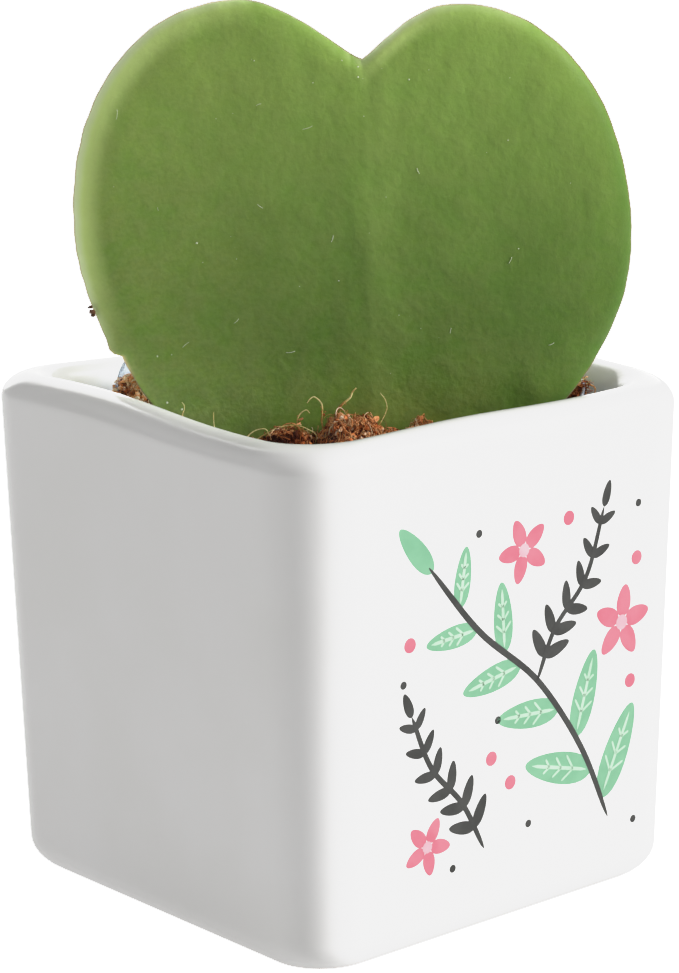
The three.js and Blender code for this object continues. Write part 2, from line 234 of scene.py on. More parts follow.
class Wiring:
    """Nodes and links of one tree, made by short calls. Colours are in steps of 0 to 255."""

    def __init__(self, tree):
        self.tree = tree

    def node(self, kind, sockets=None, **settings):
        made = self.tree.nodes.new(kind)
        for key, value in settings.items():
            setattr(made, key, value)
        self.fill(made, sockets or {})
        return made

    def fill(self, node, sockets):
        """Gives each socket of a node, by name or number, its constant or its link."""
        for key, value in sockets.items():
            self.feed(node.inputs[key], value)

    def feed(self, socket, value):
        if isinstance(value, bpy.types.NodeSocket):
            self.tree.links.new(value, socket)
        else:
            socket.default_value = value

    def group(self, tree, **sockets):
        return self.node("ShaderNodeGroup", sockets, node_tree=tree).outputs

    def mark(self, key):
        """The number that a mesh holds for each point under a name."""
        return self.node("ShaderNodeAttribute", attribute_name=key).outputs["Fac"]

    def maths(self, operation, *values):
        return self.node("ShaderNodeMath", dict(enumerate(values)), operation=operation).outputs[0]

    def times(self, first, second):
        return self.maths("MULTIPLY", first, second)

    def step(self, value, low, high, first=0.0, last=1.0):
        """first below low, last above high, smooth between."""
        sockets = {"Value": value, "From Min": low, "From Max": high, "To Min": first, "To Max": last}
        return self.node("ShaderNodeMapRange", sockets, interpolation_type="SMOOTHSTEP").outputs[0]

    def mix(self, share, under, over):
        """Two colours mixed, by the share of the second."""
        under, over = (tint(*color) if isinstance(color, tuple) else color for color in (under, over))
        return self.node("ShaderNodeMix", {0: share, 6: under, 7: over}, data_type="RGBA").outputs[2]

    def coats(self, color, layers):
        """A colour under layers, each laid over what is there by its share."""
        for share, over in layers:
            color = self.mix(share, color, over)
        return color

    def ramp(self, value, stops):
        """A colour that runs through stops, each a position and a colour."""
        made = self.node("ShaderNodeValToRGB", {"Fac": value})
        elements = made.color_ramp.elements
        for spot, color in stops[1:-1]:
            elements.new(spot).color = tint(*color)
        for end in (0, -1):
            elements[end].position, elements[end].color = stops[end][0], tint(*stops[end][1])
        return made.outputs[0]

    def bump(self, height, distance, strength=1.0):
        """The directions of a surface that a height raises by up to a distance."""
        sockets = {"Height": height, "Distance": distance, "Strength": strength}
        return self.node("ShaderNodeBump", sockets).outputs[0]


def shader_group(name, inputs, outputs):
    """An empty shader group, with inputs (name to value, none for a place) and outputs (name to
    kind)."""
    tree = bpy.data.node_groups.new(name, "ShaderNodeTree")
    for key, value in inputs.items():
        kind = "NodeSocketVector" if value is None else "NodeSocketFloat"
        socket = tree.interface.new_socket(key, in_out="INPUT", socket_type=kind)
        if value is not None:
            socket.default_value = value
    for key, kind in outputs.items():
        tree.interface.new_socket(key, in_out="OUTPUT", socket_type=kind)
    wires = Wiring(tree)
    return tree, wires, wires.node("NodeGroupInput").outputs, wires.node("NodeGroupOutput").inputs


def build_mottle():
    """Soft patches and a fine grain: noises of Size and of a seventh of it, spread to 0 and 1."""
    floats = {"Mask": "NodeSocketFloat", "Grain": "NodeSocketFloat"}
    tree, wires, given, put = shader_group("mottle", {"Place": None, "Size": 0.01, "Detail": 3.0}, floats)
    scale = wires.maths("DIVIDE", 1.0, given["Size"])
    for key, size, low, high in (("Mask", scale, 0.34, 0.66), ("Grain", wires.times(scale, 7.0), 0.3, 0.7)):
        sockets = {"Vector": given["Place"], "Scale": size, "Detail": given["Detail"]}
        noise = wires.node("ShaderNodeTexNoise", sockets).outputs[0]
        wires.feed(put[key], wires.step(noise, low, high))
    return tree


def build_specks():
    """Sparse round specks: a cell's distance to its point, kept only in a share of the cells."""
    inputs = {"Place": None, "Spacing": 0.003, "Radius": 0.0002, "Share": 0.3}
    tree, wires, given, put = shader_group("specks", inputs, {"Mask": "NodeSocketFloat"})
    scale = wires.maths("DIVIDE", 1.0, given["Spacing"])
    cells = wires.node("ShaderNodeTexVoronoi", {"Vector": given["Place"], "Scale": scale})
    drawn = wires.node("ShaderNodeSeparateColor", {"Color": cells.outputs["Color"]}).outputs
    kept = wires.maths("LESS_THAN", drawn[0], given["Share"])
    size = wires.times(wires.times(given["Radius"], scale), wires.step(drawn[1], 0.0, 1.0, 0.4, 1.0))
    near = wires.maths("SUBTRACT", 1.0, wires.maths("DIVIDE", cells.outputs["Distance"], size))
    wires.feed(put["Mask"], wires.times(kept, wires.step(near, 0.0, 0.6)))
    return tree


MOTTLE = build_mottle()
SPECKS = build_specks()


def start_material(name, place="Object"):
    """A material with its wiring, its Principled shader, and the place that patterns read."""
    material = bpy.data.materials.new(name)
    material.use_nodes = True
    wires = Wiring(material.node_tree)
    shader = material.node_tree.nodes["Principled BSDF"]
    return material, wires, shader, wires.node("ShaderNodeTexCoord").outputs[place]


def glaze():
    """White glaze with soft patches and a few pinholes, with painted shade that dims it towards the
    rim, bare and rough where the foot was wiped."""
    material, wires, shader, place = start_material("white_glaze")
    patches = wires.group(MOTTLE, Place=place, Size=0.022, Detail=2.0)
    pinholes = wires.group(SPECKS, Place=place, Spacing=0.011, Radius=0.00042, Share=0.3)["Mask"]
    height = wires.node("ShaderNodeSeparateXYZ", {"Vector": place}).outputs["Z"]
    bare = wires.step(height, 0.0004, 0.0012, 1.0, 0.0)
    gloss = wires.maths("ADD", 0.15, wires.times(patches["Mask"], 0.07))
    waves = wires.maths("ADD", patches["Mask"], wires.times(patches["Grain"], 0.08))
    wires.fill(shader, {
        "Base Color": wires.coats((238, 237, 235), [
            (patches["Mask"], (241, 240, 239)),
            # painted shade: the glaze dims towards the rim
            (wires.step(height, 0.012, 0.06, 0.0, 0.35), (222, 221, 219)),
            (wires.times(pinholes, 0.16), (150, 146, 140)),
            (bare, (222, 208, 188)),
        ]),
        "Roughness": wires.maths("MAXIMUM", gloss, wires.times(bare, 0.75)),
        "Normal": wires.bump(wires.maths("SUBTRACT", waves, pinholes), 0.00012, 0.5),
    })
    return material


def film():
    """Thin clear plastic, faintly clouded, with fine creases."""
    material, wires, shader, place = start_material("clear_film")
    clouds = wires.group(MOTTLE, Place=place, Size=0.006, Detail=4.0)
    wires.fill(shader, {
        "Base Color": wires.mix(clouds["Mask"], (204, 213, 222), (182, 194, 206)),
        "Roughness": wires.step(clouds["Mask"], 0.0, 1.0, 0.16, 0.34),
        "Transmission Weight": 0.72,
        "IOR": 1.35,
        "Normal": wires.bump(clouds["Grain"], 0.0002, 0.6),
    })
    return material


def coir(name, dark, middle, light, pale):
    """Coconut fibre, whose colour runs from dark to pale with each form's own tone."""
    material, wires, shader, place = start_material(name)
    grain = wires.group(MOTTLE, Place=place, Size=0.0021, Detail=5.0)
    clouded = wires.times(wires.maths("SUBTRACT", grain["Mask"], 0.5), 0.35)
    tone = wires.maths("ADD", wires.mark("tone"), clouded)
    wires.fill(shader, {
        "Base Color": wires.ramp(tone, [(0.05, dark), (0.4, middle), (0.78, light), (0.96, pale)]),
        "Roughness": wires.step(grain["Grain"], 0.0, 1.0, 0.65, 0.95),
        "Normal": wires.bump(grain["Grain"], 0.00015),
    })
    return material


# The colours are lighter at the foot, painted light against the shade of the rim and the coir, and lighter
# and yellower to the top, painted light from above.
LEAF_GREENS_WITH_PAINTED_LIGHT = [      # height up the leaf's own frame (0.4 at its foot, 0.97 at its top), and colour
    (0.4, (154, 180, 82)),
    (0.52, (122, 149, 58)),
    (0.68, (106, 136, 53)),
    (0.8, (116, 146, 60)),
    (0.93, (158, 190, 88)),
]


def leaf_skin():
    """Waxy green with olive and green patches and a thin line round the margin, under painted
    light and shade: lighter and yellower to the top, painted light from above; painted light on
    the left half and low on the left, and painted shade on the right half and low on the right;
    a lit and a shaded side of the midrib; and a painted highlight on the left and top of the
    margin, with painted shade on its right. The line is brown where the leaf is dark and buff
    under the painted highlight. across and up are places in the skin's map."""
    material, wires, shader, place = start_material("leaf_skin", "UV")
    across, up = wires.node("ShaderNodeSeparateXYZ", {"Vector": place}).outputs[:2]
    patches = wires.group(MOTTLE, Place=place, Size=0.075, Detail=4.0)
    blotches = wires.group(MOTTLE, Place=place, Size=0.26, Detail=2.0)
    clouds = wires.group(MOTTLE, Place=place, Size=0.034, Detail=6.0)
    dots = wires.group(SPECKS, Place=place, Spacing=0.022, Radius=0.0011, Share=0.5)
    rib = wires.maths("SUBTRACT", across, wires.maths("ADD", 0.4632, wires.times(up, RIB_SLANT)))
    # painted shade on the left side of the midrib and painted light on its right side
    shaded_left_of_rib = wires.times(wires.step(rib, -0.05, -0.01), wires.step(rib, -0.008, 0.006, 1.0, 0.0))
    lit_right_of_rib = wires.times(wires.step(rib, -0.008, 0.006), wires.step(rib, 0.01, 0.06, 1.0, 0.0))
    # the margin mark holds painted highlight, and painted shade where it is below 0
    inward, painted_edge_light = wires.mark("inward"), wires.mark("painted_edge_light")
    painted_edge_shade = wires.maths("MAXIMUM", wires.times(painted_edge_light, -1.0), 0.0)
    painted_edge_light = wires.maths("MAXIMUM", painted_edge_light, 0.0)
    # painted light low on the left, against the shade of the rim and the coir, and painted shade low on the
    # right
    painted_light_low_left = wires.times(wires.step(up, 0.36, 0.5, 0.42, 0.0), wires.step(across, 0.5, 0.8, 1.0, 0.0))
    painted_shade_low_right = wires.times(wires.step(up, 0.4, 0.6, 0.36, 0.0), wires.step(across, 0.5, 0.7))
    # painted shade that grows from the left edge towards the right, less at the foot
    painted_shade_rightward = wires.times(wires.step(across, 0.12, 0.42, 0.0, 0.45), wires.step(up, 0.44, 0.54, 0.55, 1.0))
    color = wires.coats(wires.ramp(up, LEAF_GREENS_WITH_PAINTED_LIGHT), [
        # painted light on the left half
        (wires.step(across, 0.14, 0.46, 0.56, 0.0), (140, 170, 74)),
        (painted_light_low_left, (190, 208, 112)),
        (painted_shade_low_right, (58, 84, 30)),
        (wires.times(blotches["Mask"], 0.42), (126, 130, 62)),
        (wires.times(patches["Mask"], 0.54), (98, 146, 46)),
        (wires.times(clouds["Mask"], 0.52), (140, 146, 84)),
        (wires.times(clouds["Grain"], 0.36), (80, 114, 40)),
        (wires.times(patches["Grain"], 0.24), (144, 166, 100)),
        (painted_shade_rightward, (50, 92, 24)),
        # painted shade on the right lobe
        (wires.step(across, 0.5, 0.72, 0.0, 0.46), (56, 86, 26)),
        # painted light from above, towards the top
        (wires.step(up, 0.5, 0.9, 0.06, 0.37), (168, 198, 100)),
        # painted light right of the midrib and painted shade left of it
        (wires.times(lit_right_of_rib, 0.16), (150, 180, 92)),
        (wires.times(shaded_left_of_rib, 0.12), (60, 96, 24)),
        # painted highlight along the margin, a broad one and a whiter narrow one
        (wires.times(painted_edge_light, wires.step(inward, 0.8, 4.6, 1.0, 0.0)), (224, 248, 152)),
        (wires.times(painted_edge_light, wires.step(inward, 0.3, 1.6, 1.0, 0.0)), (226, 240, 190)),
        # painted shade along the right margin
        (wires.times(painted_edge_shade, wires.step(inward, 0.6, 3.2, 0.55, 0.0)), (50, 84, 24)),
        # the margin's own thin line, buff under the painted highlight
        (wires.step(inward, 0.14, 0.32, 0.8, 0.0), wires.mix(
            wires.step(painted_edge_light, 0.0, 0.3), (122, 100, 78), (186, 164, 122))),
        (wires.mark("scar"), (226, 206, 150)),
        (wires.step(wires.mark("front"), -0.9, -0.2, 0.45, 0.0), (142, 156, 98)),
        (wires.times(dots["Mask"], 0.3), (166, 184, 120)),
    ])
    relief = wires.maths("ADD", clouds["Mask"], wires.times(patches["Grain"], 0.5))
    wires.fill(shader, {
        "Base Color": color,
        "Roughness": wires.step(patches["Mask"], 0.0, 1.0, 0.44, 0.56),
        "Specular IOR Level": 0.3,
        "Subsurface Weight": 0.1,
        "Subsurface Radius": (0.0012, 0.0016, 0.0005),
        "Subsurface Scale": 1.0,
        "Normal": wires.bump(relief, 0.00006, 0.7),
    })
    return material


def two_tone(name, color, other, size, rough):
    """An even skin with soft patches of another colour, its roughness from one number to the
    next with their grain."""
    material, wires, shader, place = start_material(name)
    patches = wires.group(MOTTLE, Place=place, Size=size, Detail=3.0)
    wires.fill(shader, {
        "Base Color": wires.mix(patches["Mask"], color, other),
        "Roughness": wires.step(patches["Grain"], 0.0, 1.0, *rough),
    })
    return material


# The pot


def rim_wave(x, y):
    """How far the fired rim stands above or below its mean height: the sum of waves that go
    once to four times round the pot, each with its cosine's and its sine's height."""
    a = np.arctan2(y, x)
    return sum(c * np.cos(k * a) + s * np.sin(k * a) for k, (c, s) in enumerate(RIM_WAVES, 1))


def pot_profile():
    """Half width, corner radius and height of each ring, from the recess under the foot, up
    the outside, over the rim and down the inside to the floor's middle."""
    def quarter(steps):
        return np.linspace(0, np.pi / 2, steps)

    def outer(z, inset):
        half = POT_SIDE / 2 - POT_TAPER * (1 - z / POT_HEIGHT) - inset
        corner = CORNER_AT_FOOT + (CORNER_AT_RIM - CORNER_AT_FOOT) * z / POT_HEIGHT - CORNER_PULL * inset
        return np.stack([half, corner, z], 1)

    def inner(z, inset):
        at_rim = POT_SIDE / 2 - RIM_OUTER_ROUND - RIM_INNER_ROUND
        half = at_rim - INSIDE_TAPER * (1 - z / POT_HEIGHT) - inset
        return np.stack([half, INSIDE_CORNER - inset + 0 * z, z], 1)

    foot, crest, lip, fillet = quarter(10), quarter(12), quarter(8)[1:], quarter(8)
    wall = [FOOT_ROUND + 0.4, *np.linspace(8, 62, 14), POT_HEIGHT - RIM_OUTER_ROUND - 0.4]
    inside = [POT_HEIGHT - RIM_INNER_ROUND - 0.3, *np.linspace(64, 14, 12), POT_FLOOR + FLOOR_FILLET + 0.4]
    return np.concatenate([
        [(*HUB, RECESS_DEPTH), (RECESS_HALF - 1.2, RECESS_CORNER - 1.2, RECESS_DEPTH)],
        [(RECESS_HALF - 0.4, RECESS_CORNER - 0.4, 0.5), (RECESS_HALF, RECESS_CORNER, 0.0)],
        outer(FOOT_ROUND * (1 - np.cos(foot)), FOOT_ROUND * (1 - np.sin(foot))),
        outer(np.array(wall), 0),
        outer(POT_HEIGHT - RIM_OUTER_ROUND * (1 - np.sin(crest)), RIM_OUTER_ROUND * (1 - np.cos(crest))),
        inner(POT_HEIGHT - RIM_INNER_ROUND * (1 - np.cos(lip)), -RIM_INNER_ROUND * (1 - np.sin(lip))),
        inner(np.array(inside), 0),
        inner(POT_FLOOR + FLOOR_FILLET * (1 - np.sin(fillet)), FLOOR_FILLET * (1 - np.cos(fillet))),
        [(*HUB, POT_FLOOR)],
    ])


def make_pot():
    """The pot's profile carried round a square with round corners, then lifted near the top
    by the rim's wave times the fourth power of the height."""
    half, corner, z = pot_profile().T
    flat = square_rings(half, corner)
    height = z[:, None] + rim_wave(flat[..., 0], flat[..., 1]) * (z[:, None] / POT_HEIGHT) ** 4
    rings = np.concatenate([flat, height[..., None]], -1)[None]
    piece = closed_forms("pot_glazed", rings, glaze())
    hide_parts("cube_pot")


# The print on the front face


INK_SINK, INK_PROUD = 0.02, 0.015     # how deep the print is let in, and how proud it stands


def on_front(u, v, out):
    """Places on the pot's front face: u to the right, v up and out of the tapered wall."""
    wall = POT_SIDE / 2 - POT_TAPER * (1 - v / POT_HEIGHT)
    return np.stack([u, -(wall + out), v + 0 * u], -1)


def stamps(outlines, lift=0.0):
    """Closed thin slabs from star-shaped outlines (forms, steps, 2): back middle, back edge,
    front edge and front middle."""
    middle = outlines.mean(1, keepdims=True)
    rows = []
    proud = INK_PROUD + lift
    for share, out in ((0.05, -INK_SINK), (1.0, -INK_SINK), (1.0, proud), (0.05, proud)):
        flat = middle + share * (outlines - middle)
        rows.append(on_front(flat[..., 0], flat[..., 1], out))
    return np.stack(rows, 1)


def strokes(path, width, lift=0.0):
    """A flat brush stroke along a path (rows, 2): four corners square to the path, with the
    width tapering to round-looking ends."""
    way = unit(np.gradient(path, axis=0))
    side = np.stack([-way[:, 1], way[:, 0]], -1)
    t = np.linspace(0, 1, len(path))
    half = (width / 2 * np.clip(np.sqrt(1 - (2 * t - 1) ** 8), 0.15, 1))[:, None]
    left, right = path + half * side, path - half * side
    back = [on_front(p[:, 0], p[:, 1], -INK_SINK) for p in (left, right)]
    front = [on_front(p[:, 0], p[:, 1], INK_PROUD + lift) for p in (right, left)]
    return np.stack(back + front, 1)[None]


def leaflets(roots, headings, lengths, widths, steps=28):
    """Outlines of pointed leaves: the axis runs from root to tip, and the half width is the
    sine of the way along it, drawn out towards the tip."""
    turn = np.linspace(0, 2 * np.pi, steps, endpoint=False)
    along = (1 - np.cos(turn)) / 2
    wide = np.sin(turn) * (1 - 0.35 * along)
    axis = np.stack([np.cos(headings), np.sin(headings)], -1)[:, None]
    side = np.stack([-np.sin(headings), np.cos(headings)], -1)[:, None]
    out = np.asarray(roots)[:, None] + axis * (along * np.asarray(lengths)[:, None])[..., None]
    return out - side * (wide * np.asarray(widths)[:, None] / 2)[..., None]


def make_print():
    """A climbing sprig in three inks: mint leaves with pale veins, pink blossoms and
    charcoal twigs and dots."""
    stem = smooth_path([(19.0, 11.0), (13.5, 22.0), (5.0, 33.0), (-5.5, 41.5), (-14.5, 51.5)], 60)
    way = np.gradient(stem, axis=0)
    spots = [4, 10, 17, 23, 34, 38, 45, 50]
    bend = np.arctan2(way[spots, 1], way[spots, 0])
    headings = bend + 0.85 * np.array([-1, 1, -1, 1, 1, -1, 1, -1])
    lengths = np.linspace(13.5, 8.0, len(spots))
    mint = [stamps(leaflets(stem[spots], headings, lengths, 0.42 * lengths))]
    mint.append(stamps(leaflets(stem[-2:-1], bend[-1:], [8.5], [3.6])))
    veins = []
    for root, heading, length in zip(stem[spots], headings, lengths):
        axis = np.array([math.cos(heading), math.sin(heading)])
        side = np.array([-axis[1], axis[0]])
        veins.append(strokes(root + np.linspace(0.08, 0.9, 12)[:, None] * length * axis, 0.5, 0.02))
        for share in (0.28, 0.46, 0.64):
            for hand in (-1, 1):
                reach = 0.17 * length * (1.1 - share)
                line = share * length * axis + np.linspace(0, 1, 12)[:, None] * reach * (axis + hand * side)
                veins.append(strokes(root + line, 0.34, 0.02))
    twigs, small = [strokes(stem, 0.9, 0.01)], []
    for path in (
        [(-4.0, 12.0), (-8.0, 19.0), (-13.5, 25.0), (-17.0, 32.5)],
        [(5.0, 33.0), (8.0, 39.5), (13.5, 45.5), (16.5, 54.5)],
    ):
        line = smooth_path(path, 40)
        twigs.append(strokes(line, 0.8, 0.01))
        way = np.gradient(line, axis=0)
        at = [6, 12, 18, 24, 30, 36]
        aim = np.arctan2(way[at, 1], way[at, 0])
        for turn in (-0.9, 0.9):
            bract = leaflets(line[at], aim + turn, np.linspace(4.6, 3.0, 6), np.linspace(2.2, 1.5, 6))
            small.append(stamps(bract))
        small.append(stamps(leaflets(line[-1:], aim[-1:], [3.6], [1.8])))
    turn = np.linspace(0, 2 * np.pi, 16, endpoint=False)
    dot = np.stack([np.cos(turn), np.sin(turn)], -1)
    pink, hearts = [], []
    for u, v, size, twist in ((20.5, 38.0, 4.4, 0.2), (2.0, 51.0, 3.8, 0.7), (-14.0, 14.5, 3.4, 1.1)):
        aims = twist + 2 * np.pi * np.arange(5) / 5
        roots = np.array([u, v]) + 0.18 * size * np.stack([np.cos(aims), np.sin(aims)], -1)
        pink.append(stamps(leaflets(roots, aims, np.full(5, size), np.full(5, 0.72 * size))))
        hearts.append(stamps((np.array([u, v]) + 0.24 * size * dot)[None], 0.02))
    berries = [(-3.0, 24.0), (0.5, 20.0), (22.5, 29.5), (10.0, 54.0), (-17.5, 42.0), (23.0, 46.5)]
    pink.append(stamps(np.array(berries)[:, None] + dot))
    dots = [(-18.5, 37.0), (4.0, 13.5), (-2.0, 29.0), (-6.0, 54.5), (23.0, 54.0), (-9.5, 10.5), (24.0, 9.5)]
    charcoal = twigs + small + [stamps(np.array(dots)[:, None] + 0.55 * dot)]
    for ink, parts, color, worn in (
        ("mint", mint, (106, 155, 123), (113, 161, 129)),
        ("pale", veins, (158, 190, 164), (166, 196, 171)),
        ("pink", pink, (186, 95, 111), (192, 106, 120)),
        ("charcoal", charcoal, (44, 44, 42), (55, 55, 53)),
        ("hearts", hearts, (206, 149, 158), (210, 160, 167)),
    ):
        fired = two_tone("ink_" + ink, color, worn, 0.0035, (0.14, 0.22))
        join_forms("print_" + ink, parts, fired, smooth=False)


def join_forms(name, parts, material, marks=None, smooth=True):
    """One piece of several sets of closed forms, whose rows and steps may differ."""
    pieces = []
    for k, part in enumerate(parts):
        values = {key: value[k] for key, value in (marks or {}).items()}
        pieces.append(closed_forms(f"{name}_{k}", part, material, values, smooth=smooth))
    piece = pieces[0]
    chosen = {"object": piece, "active_object": piece, "selected_objects": pieces}
    with bpy.context.temp_override(**chosen, selected_editable_objects=pieces):
        bpy.ops.object.join()
    piece.name = piece.data.name = name
    piece.data.materials.clear()
    piece.data.materials.append(material)
    return piece


# The grow cup


def cup_half(z):
    """The cup widens evenly from its floor to its rim."""
    return CUP_HALF_AT_FLOOR + (CUP_HALF_AT_RIM - CUP_HALF_AT_FLOOR) * (z - CUP_BASE) / (CUP_RIM - CUP_BASE)


def crease(x, y, z):
    """How far the film is pushed in: a bell round one bearing, growing towards the rim."""
    bearing = np.degrees(np.arctan2(y - CUP_SHIFT[1], x - CUP_SHIFT[0]))
    away = (bearing - CREASE_AT + 180) % 360 - 180
    return CREASE_DEPTH * bell(away, 0, CREASE_WIDTH) * ease(z, FILM_LOOSE_FROM, 64.0)


def film_edge(x, y):
    """Height of the film's torn edge above the cup's rim: a rise at the back left that ends
    steeply at the corner, a smaller one at the right, and small tatters all round."""
    bearing = np.arctan2(y - CUP_SHIFT[1], x - CUP_SHIFT[0])
    degrees = np.degrees(bearing)
    rear = REAR_RISE * ease(REAR_END - degrees, 0.0, 10.0) * bell(degrees, REAR_AT, REAR_WIDTH)
    side = SIDE_RISE * bell(degrees, SIDE_AT, SIDE_WIDTH)
    tatters = 0.3 * np.sin(7 * bearing + 1) + 0.2 * np.sin(17 * bearing) + 0.12 * np.sin(41 * bearing)
    return rear + side + tatters - FILM_DROP


def make_cup():
    """The cup's wall and floor as one closed skin, its upper part pushed in by the crease and
    by small buckles, and its edge lifted by the film's own line."""
    low = np.linspace(CUP_BASE + CUP_FOOT_ROUND, FILM_LOOSE_FROM, FILM_LOW_ROWS)[:-1]
    z = np.concatenate([low, np.linspace(FILM_LOOSE_FROM, CUP_RIM, FILM_HIGH_ROWS)])
    outer = np.stack([cup_half(z), np.full_like(z, CUP_CORNER), z], 1)
    inner = (outer - (FILM_WALL, FILM_WALL, 0))[::-1]
    foot = np.array([outer[0, 0] - CUP_FOOT_ROUND, CUP_CORNER - CUP_FOOT_ROUND, CUP_BASE])
    rows = [(*HUB, CUP_BASE), (cup_half(CUP_BASE) - CUP_FOOT_ROUND, *foot[1:]), *outer, *inner]
    rows += [foot + (-FILM_WALL, -FILM_WALL, FILM_WALL), (*HUB, CUP_BASE + FILM_WALL)]
    half, corner, z = np.array(rows).T
    x, y = np.moveaxis(square_rings(half, corner), -1, 0)
    z = np.broadcast_to(z[:, None], x.shape)
    buckles = 0.22 * (1 + ripples(x + y, z * 1.6, 6.0, 5)) * ease(z, 48.0, 62.0)
    shrink = 1 - (crease(x, y, z) + buckles) / np.hypot(x, y)
    x, y = x * shrink, y * shrink
    z = z + film_edge(x, y) * ease(z, 60.0, CUP_RIM)
    rings = np.stack([x + CUP_SHIFT[0], y + CUP_SHIFT[1], z], -1)[None]
    piece = closed_forms("cup_film", rings, film())
    piece.visible_shadow = False      # thin clear film hardly shades the wall and the coir
    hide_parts("grow_cup")


# The coir


def from_leaf(x, y):
    """Distances of a spot behind the leaf's plane, and to the right along it."""
    behind = -x * math.sin(LEAF_AZIMUTH) + y * math.cos(LEAF_AZIMUTH) + LEAF_FORWARD
    right = x * math.cos(LEAF_AZIMUTH) + y * math.sin(LEAF_AZIMUTH)
    return behind, right


def plug_share(x, y):
    """0 in the plug's middle and 1 at its edge: a fourth-power square close to its outline."""
    half = cup_half(SOIL_FRONT) - PLUG_GAP
    u, v = (x - CUP_SHIFT[0]) / half, (y - CUP_SHIFT[1]) / half
    return (u**4 + v**4) ** 0.25


def soil_height(x, y):
    """Height of the coir: low in front of the leaf, higher behind, with mounds whose fall is
    steeper along the leaf than across it, lumps from products of sines, and a worn edge."""
    behind, right = from_leaf(x, y)
    z = SOIL_FRONT + SOIL_RISE * ease(behind, 0.0, SOIL_RISE_REACH)
    for mound_right, mound_behind, along, across, height in SOIL_MOUNDS:
        z = z + height * bell(right, mound_right, along, 4) * bell(behind, mound_behind, across)
    z = z + 0.35 * np.sin(0.62 * x + 0.25 * y + 1) * np.cos(0.53 * y - 0.31 * x)
    z = z + 0.2 * np.sin(1.25 * x - 0.4) * np.sin(1.1 * y + 0.7)
    return z - SOIL_SHOULDER * ease(plug_share(x, y), 0.85, 1.0)


def crumbled(x, y):
    """The coir's height with its crumbs: ripples of three lengths, the finer ones folded up."""
    folds = 0.3 * np.abs(ripples(x, y, 1.7, 12)) + 0.2 * np.abs(ripples(x, y, 0.9, 13))
    return soil_height(x, y) + 0.25 * ripples(x, y, 3.4, 11) + folds - 0.35


def coir_piece(name, look, colors, rings, tone, smooth=True):
    """One piece of coir, its tone from dark to pale for each form or point."""
    piece = closed_forms(name, rings, coir(look, *colors), {"tone": tone}, smooth=smooth)
    return piece


def make_plug():
    """The plug: its side follows the cup, and its top is rings that shrink to the middle, each
    point at the crumbled height."""
    bottom, corner, foot_round = CUP_BASE + PLUG_GAP, CUP_CORNER - PLUG_GAP, 2.7
    side_z = np.linspace(bottom + CUP_FOOT_ROUND, SOIL_FRONT - SOIL_SHOULDER - 0.8, PLUG_SIDE_ROWS)
    side_half = cup_half(side_z) - PLUG_GAP
    halves = [HUB[0], side_half[0] - foot_round, *side_half]
    lower = square_rings(halves, [HUB[1], corner - foot_round, *[corner] * PLUG_SIDE_ROWS])
    lower_z = np.array([bottom, bottom, *side_z])[:, None] + 0 * lower[..., 0]
    edge = square_rings([cup_half(SOIL_FRONT) - PLUG_GAP], [corner])
    upper = edge * np.linspace(1, 0.01, PLUG_TOP_RINGS)[:, None, None]
    x, y = np.moveaxis(np.concatenate([lower, upper]), -1, 0)
    push = crease(x, y, CUP_RIM) * ease(plug_share(x, y), 0.6, 1)
    push[:PLUG_FOOT_ROWS] = 0.0
    shrink = 1 - push / np.hypot(x, y)
    x, y = x * shrink + CUP_SHIFT[0], y * shrink + CUP_SHIFT[1]
    z = np.concatenate([lower_z, crumbled(x[len(lower):], y[len(lower):])])
    tone = 0.28 + 0.16 * ripples(x, y, 1.4, 21)[None]
    colors = (36, 15, 7), (112, 56, 30), (166, 98, 60), (200, 136, 92)
    piece = coir_piece("coir_bed", "coir_bed", colors, np.stack([x, y, z], -1)[None], tone)
    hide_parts("coir_plug")


def off_blade(x, y, gap):
    """Whether a spot keeps clear of the blade, which bends back to both sides."""
    behind, right = from_leaf(x, y)
    bend = BLADE_CURL * (right - LEAF_ASIDE) ** 2
    return np.abs(behind - bend) > BLADE_THICKNESS / 2 + gap


def turned_ways(draw, count):
    """Drawn turns in space, as three unit directions each: two drawn ones made square."""
    first = unit(draw.normal(0, 1, (count, 3)))
    second = unit(np.cross(first, draw.normal(0, 1, (count, 3))))
    return np.stack([first, second, np.cross(first, second)], 1)


def painted_shade_and_tone(x, y, z):
    """Painted shade and tone: shaded low down in front of the leaf, where the rim keeps the light
    off, and most of all in a painted shadow of the gap at the film in front of the left mound;
    of a dark tone at the right corner, and lifted by painted light at the left one, which the
    leaf shades."""
    behind, right = from_leaf(x, y)
    shaded = 0.22 * ease(64.6 - z, 0.0, 1.4) * (behind < 0)
    # painted shadow of the gap between the film and the rim
    gap_shadow = 0.8 * bell(right, -8.6, 3.9, 4) * ease(-behind, 6.0, 8.0)
    # a dark tone at the right corner, and painted light on the left corner, which the leaf shades
    return shaded + gap_shadow + 0.25 * ease(right, 20.0, 26.0) - 0.18 * ease(-right, 20.0, 24.0)


def lumps(draw, middles, sizes):
    """Small lumps of three rings of five points that are drawn in and out, then stretched and
    turned at random."""
    count, steps = len(middles), 5
    lift = np.array([-0.8, 0.0, 0.8])[None, :, None]
    turn = 2 * np.pi * (np.arange(steps) / steps)[None, None] + draw.uniform(0, 6, (count, 1, 1))
    flat = np.sqrt(1 - lift**2) * draw.uniform(0.6, 1.4, (count, 3, steps))
    ball = np.stack(np.broadcast_arrays(flat * np.cos(turn), flat * np.sin(turn), lift), -1)
    ball = ball * draw.uniform((0.5, 0.4, 0.7), (1.1, 0.9, 1.9), (count, 3))[:, None, None]
    ball = np.einsum("nrsk,nkj->nrsj", ball, turned_ways(draw, count))
    return middles[:, None, None] + sizes[:, None, None, None] * ball


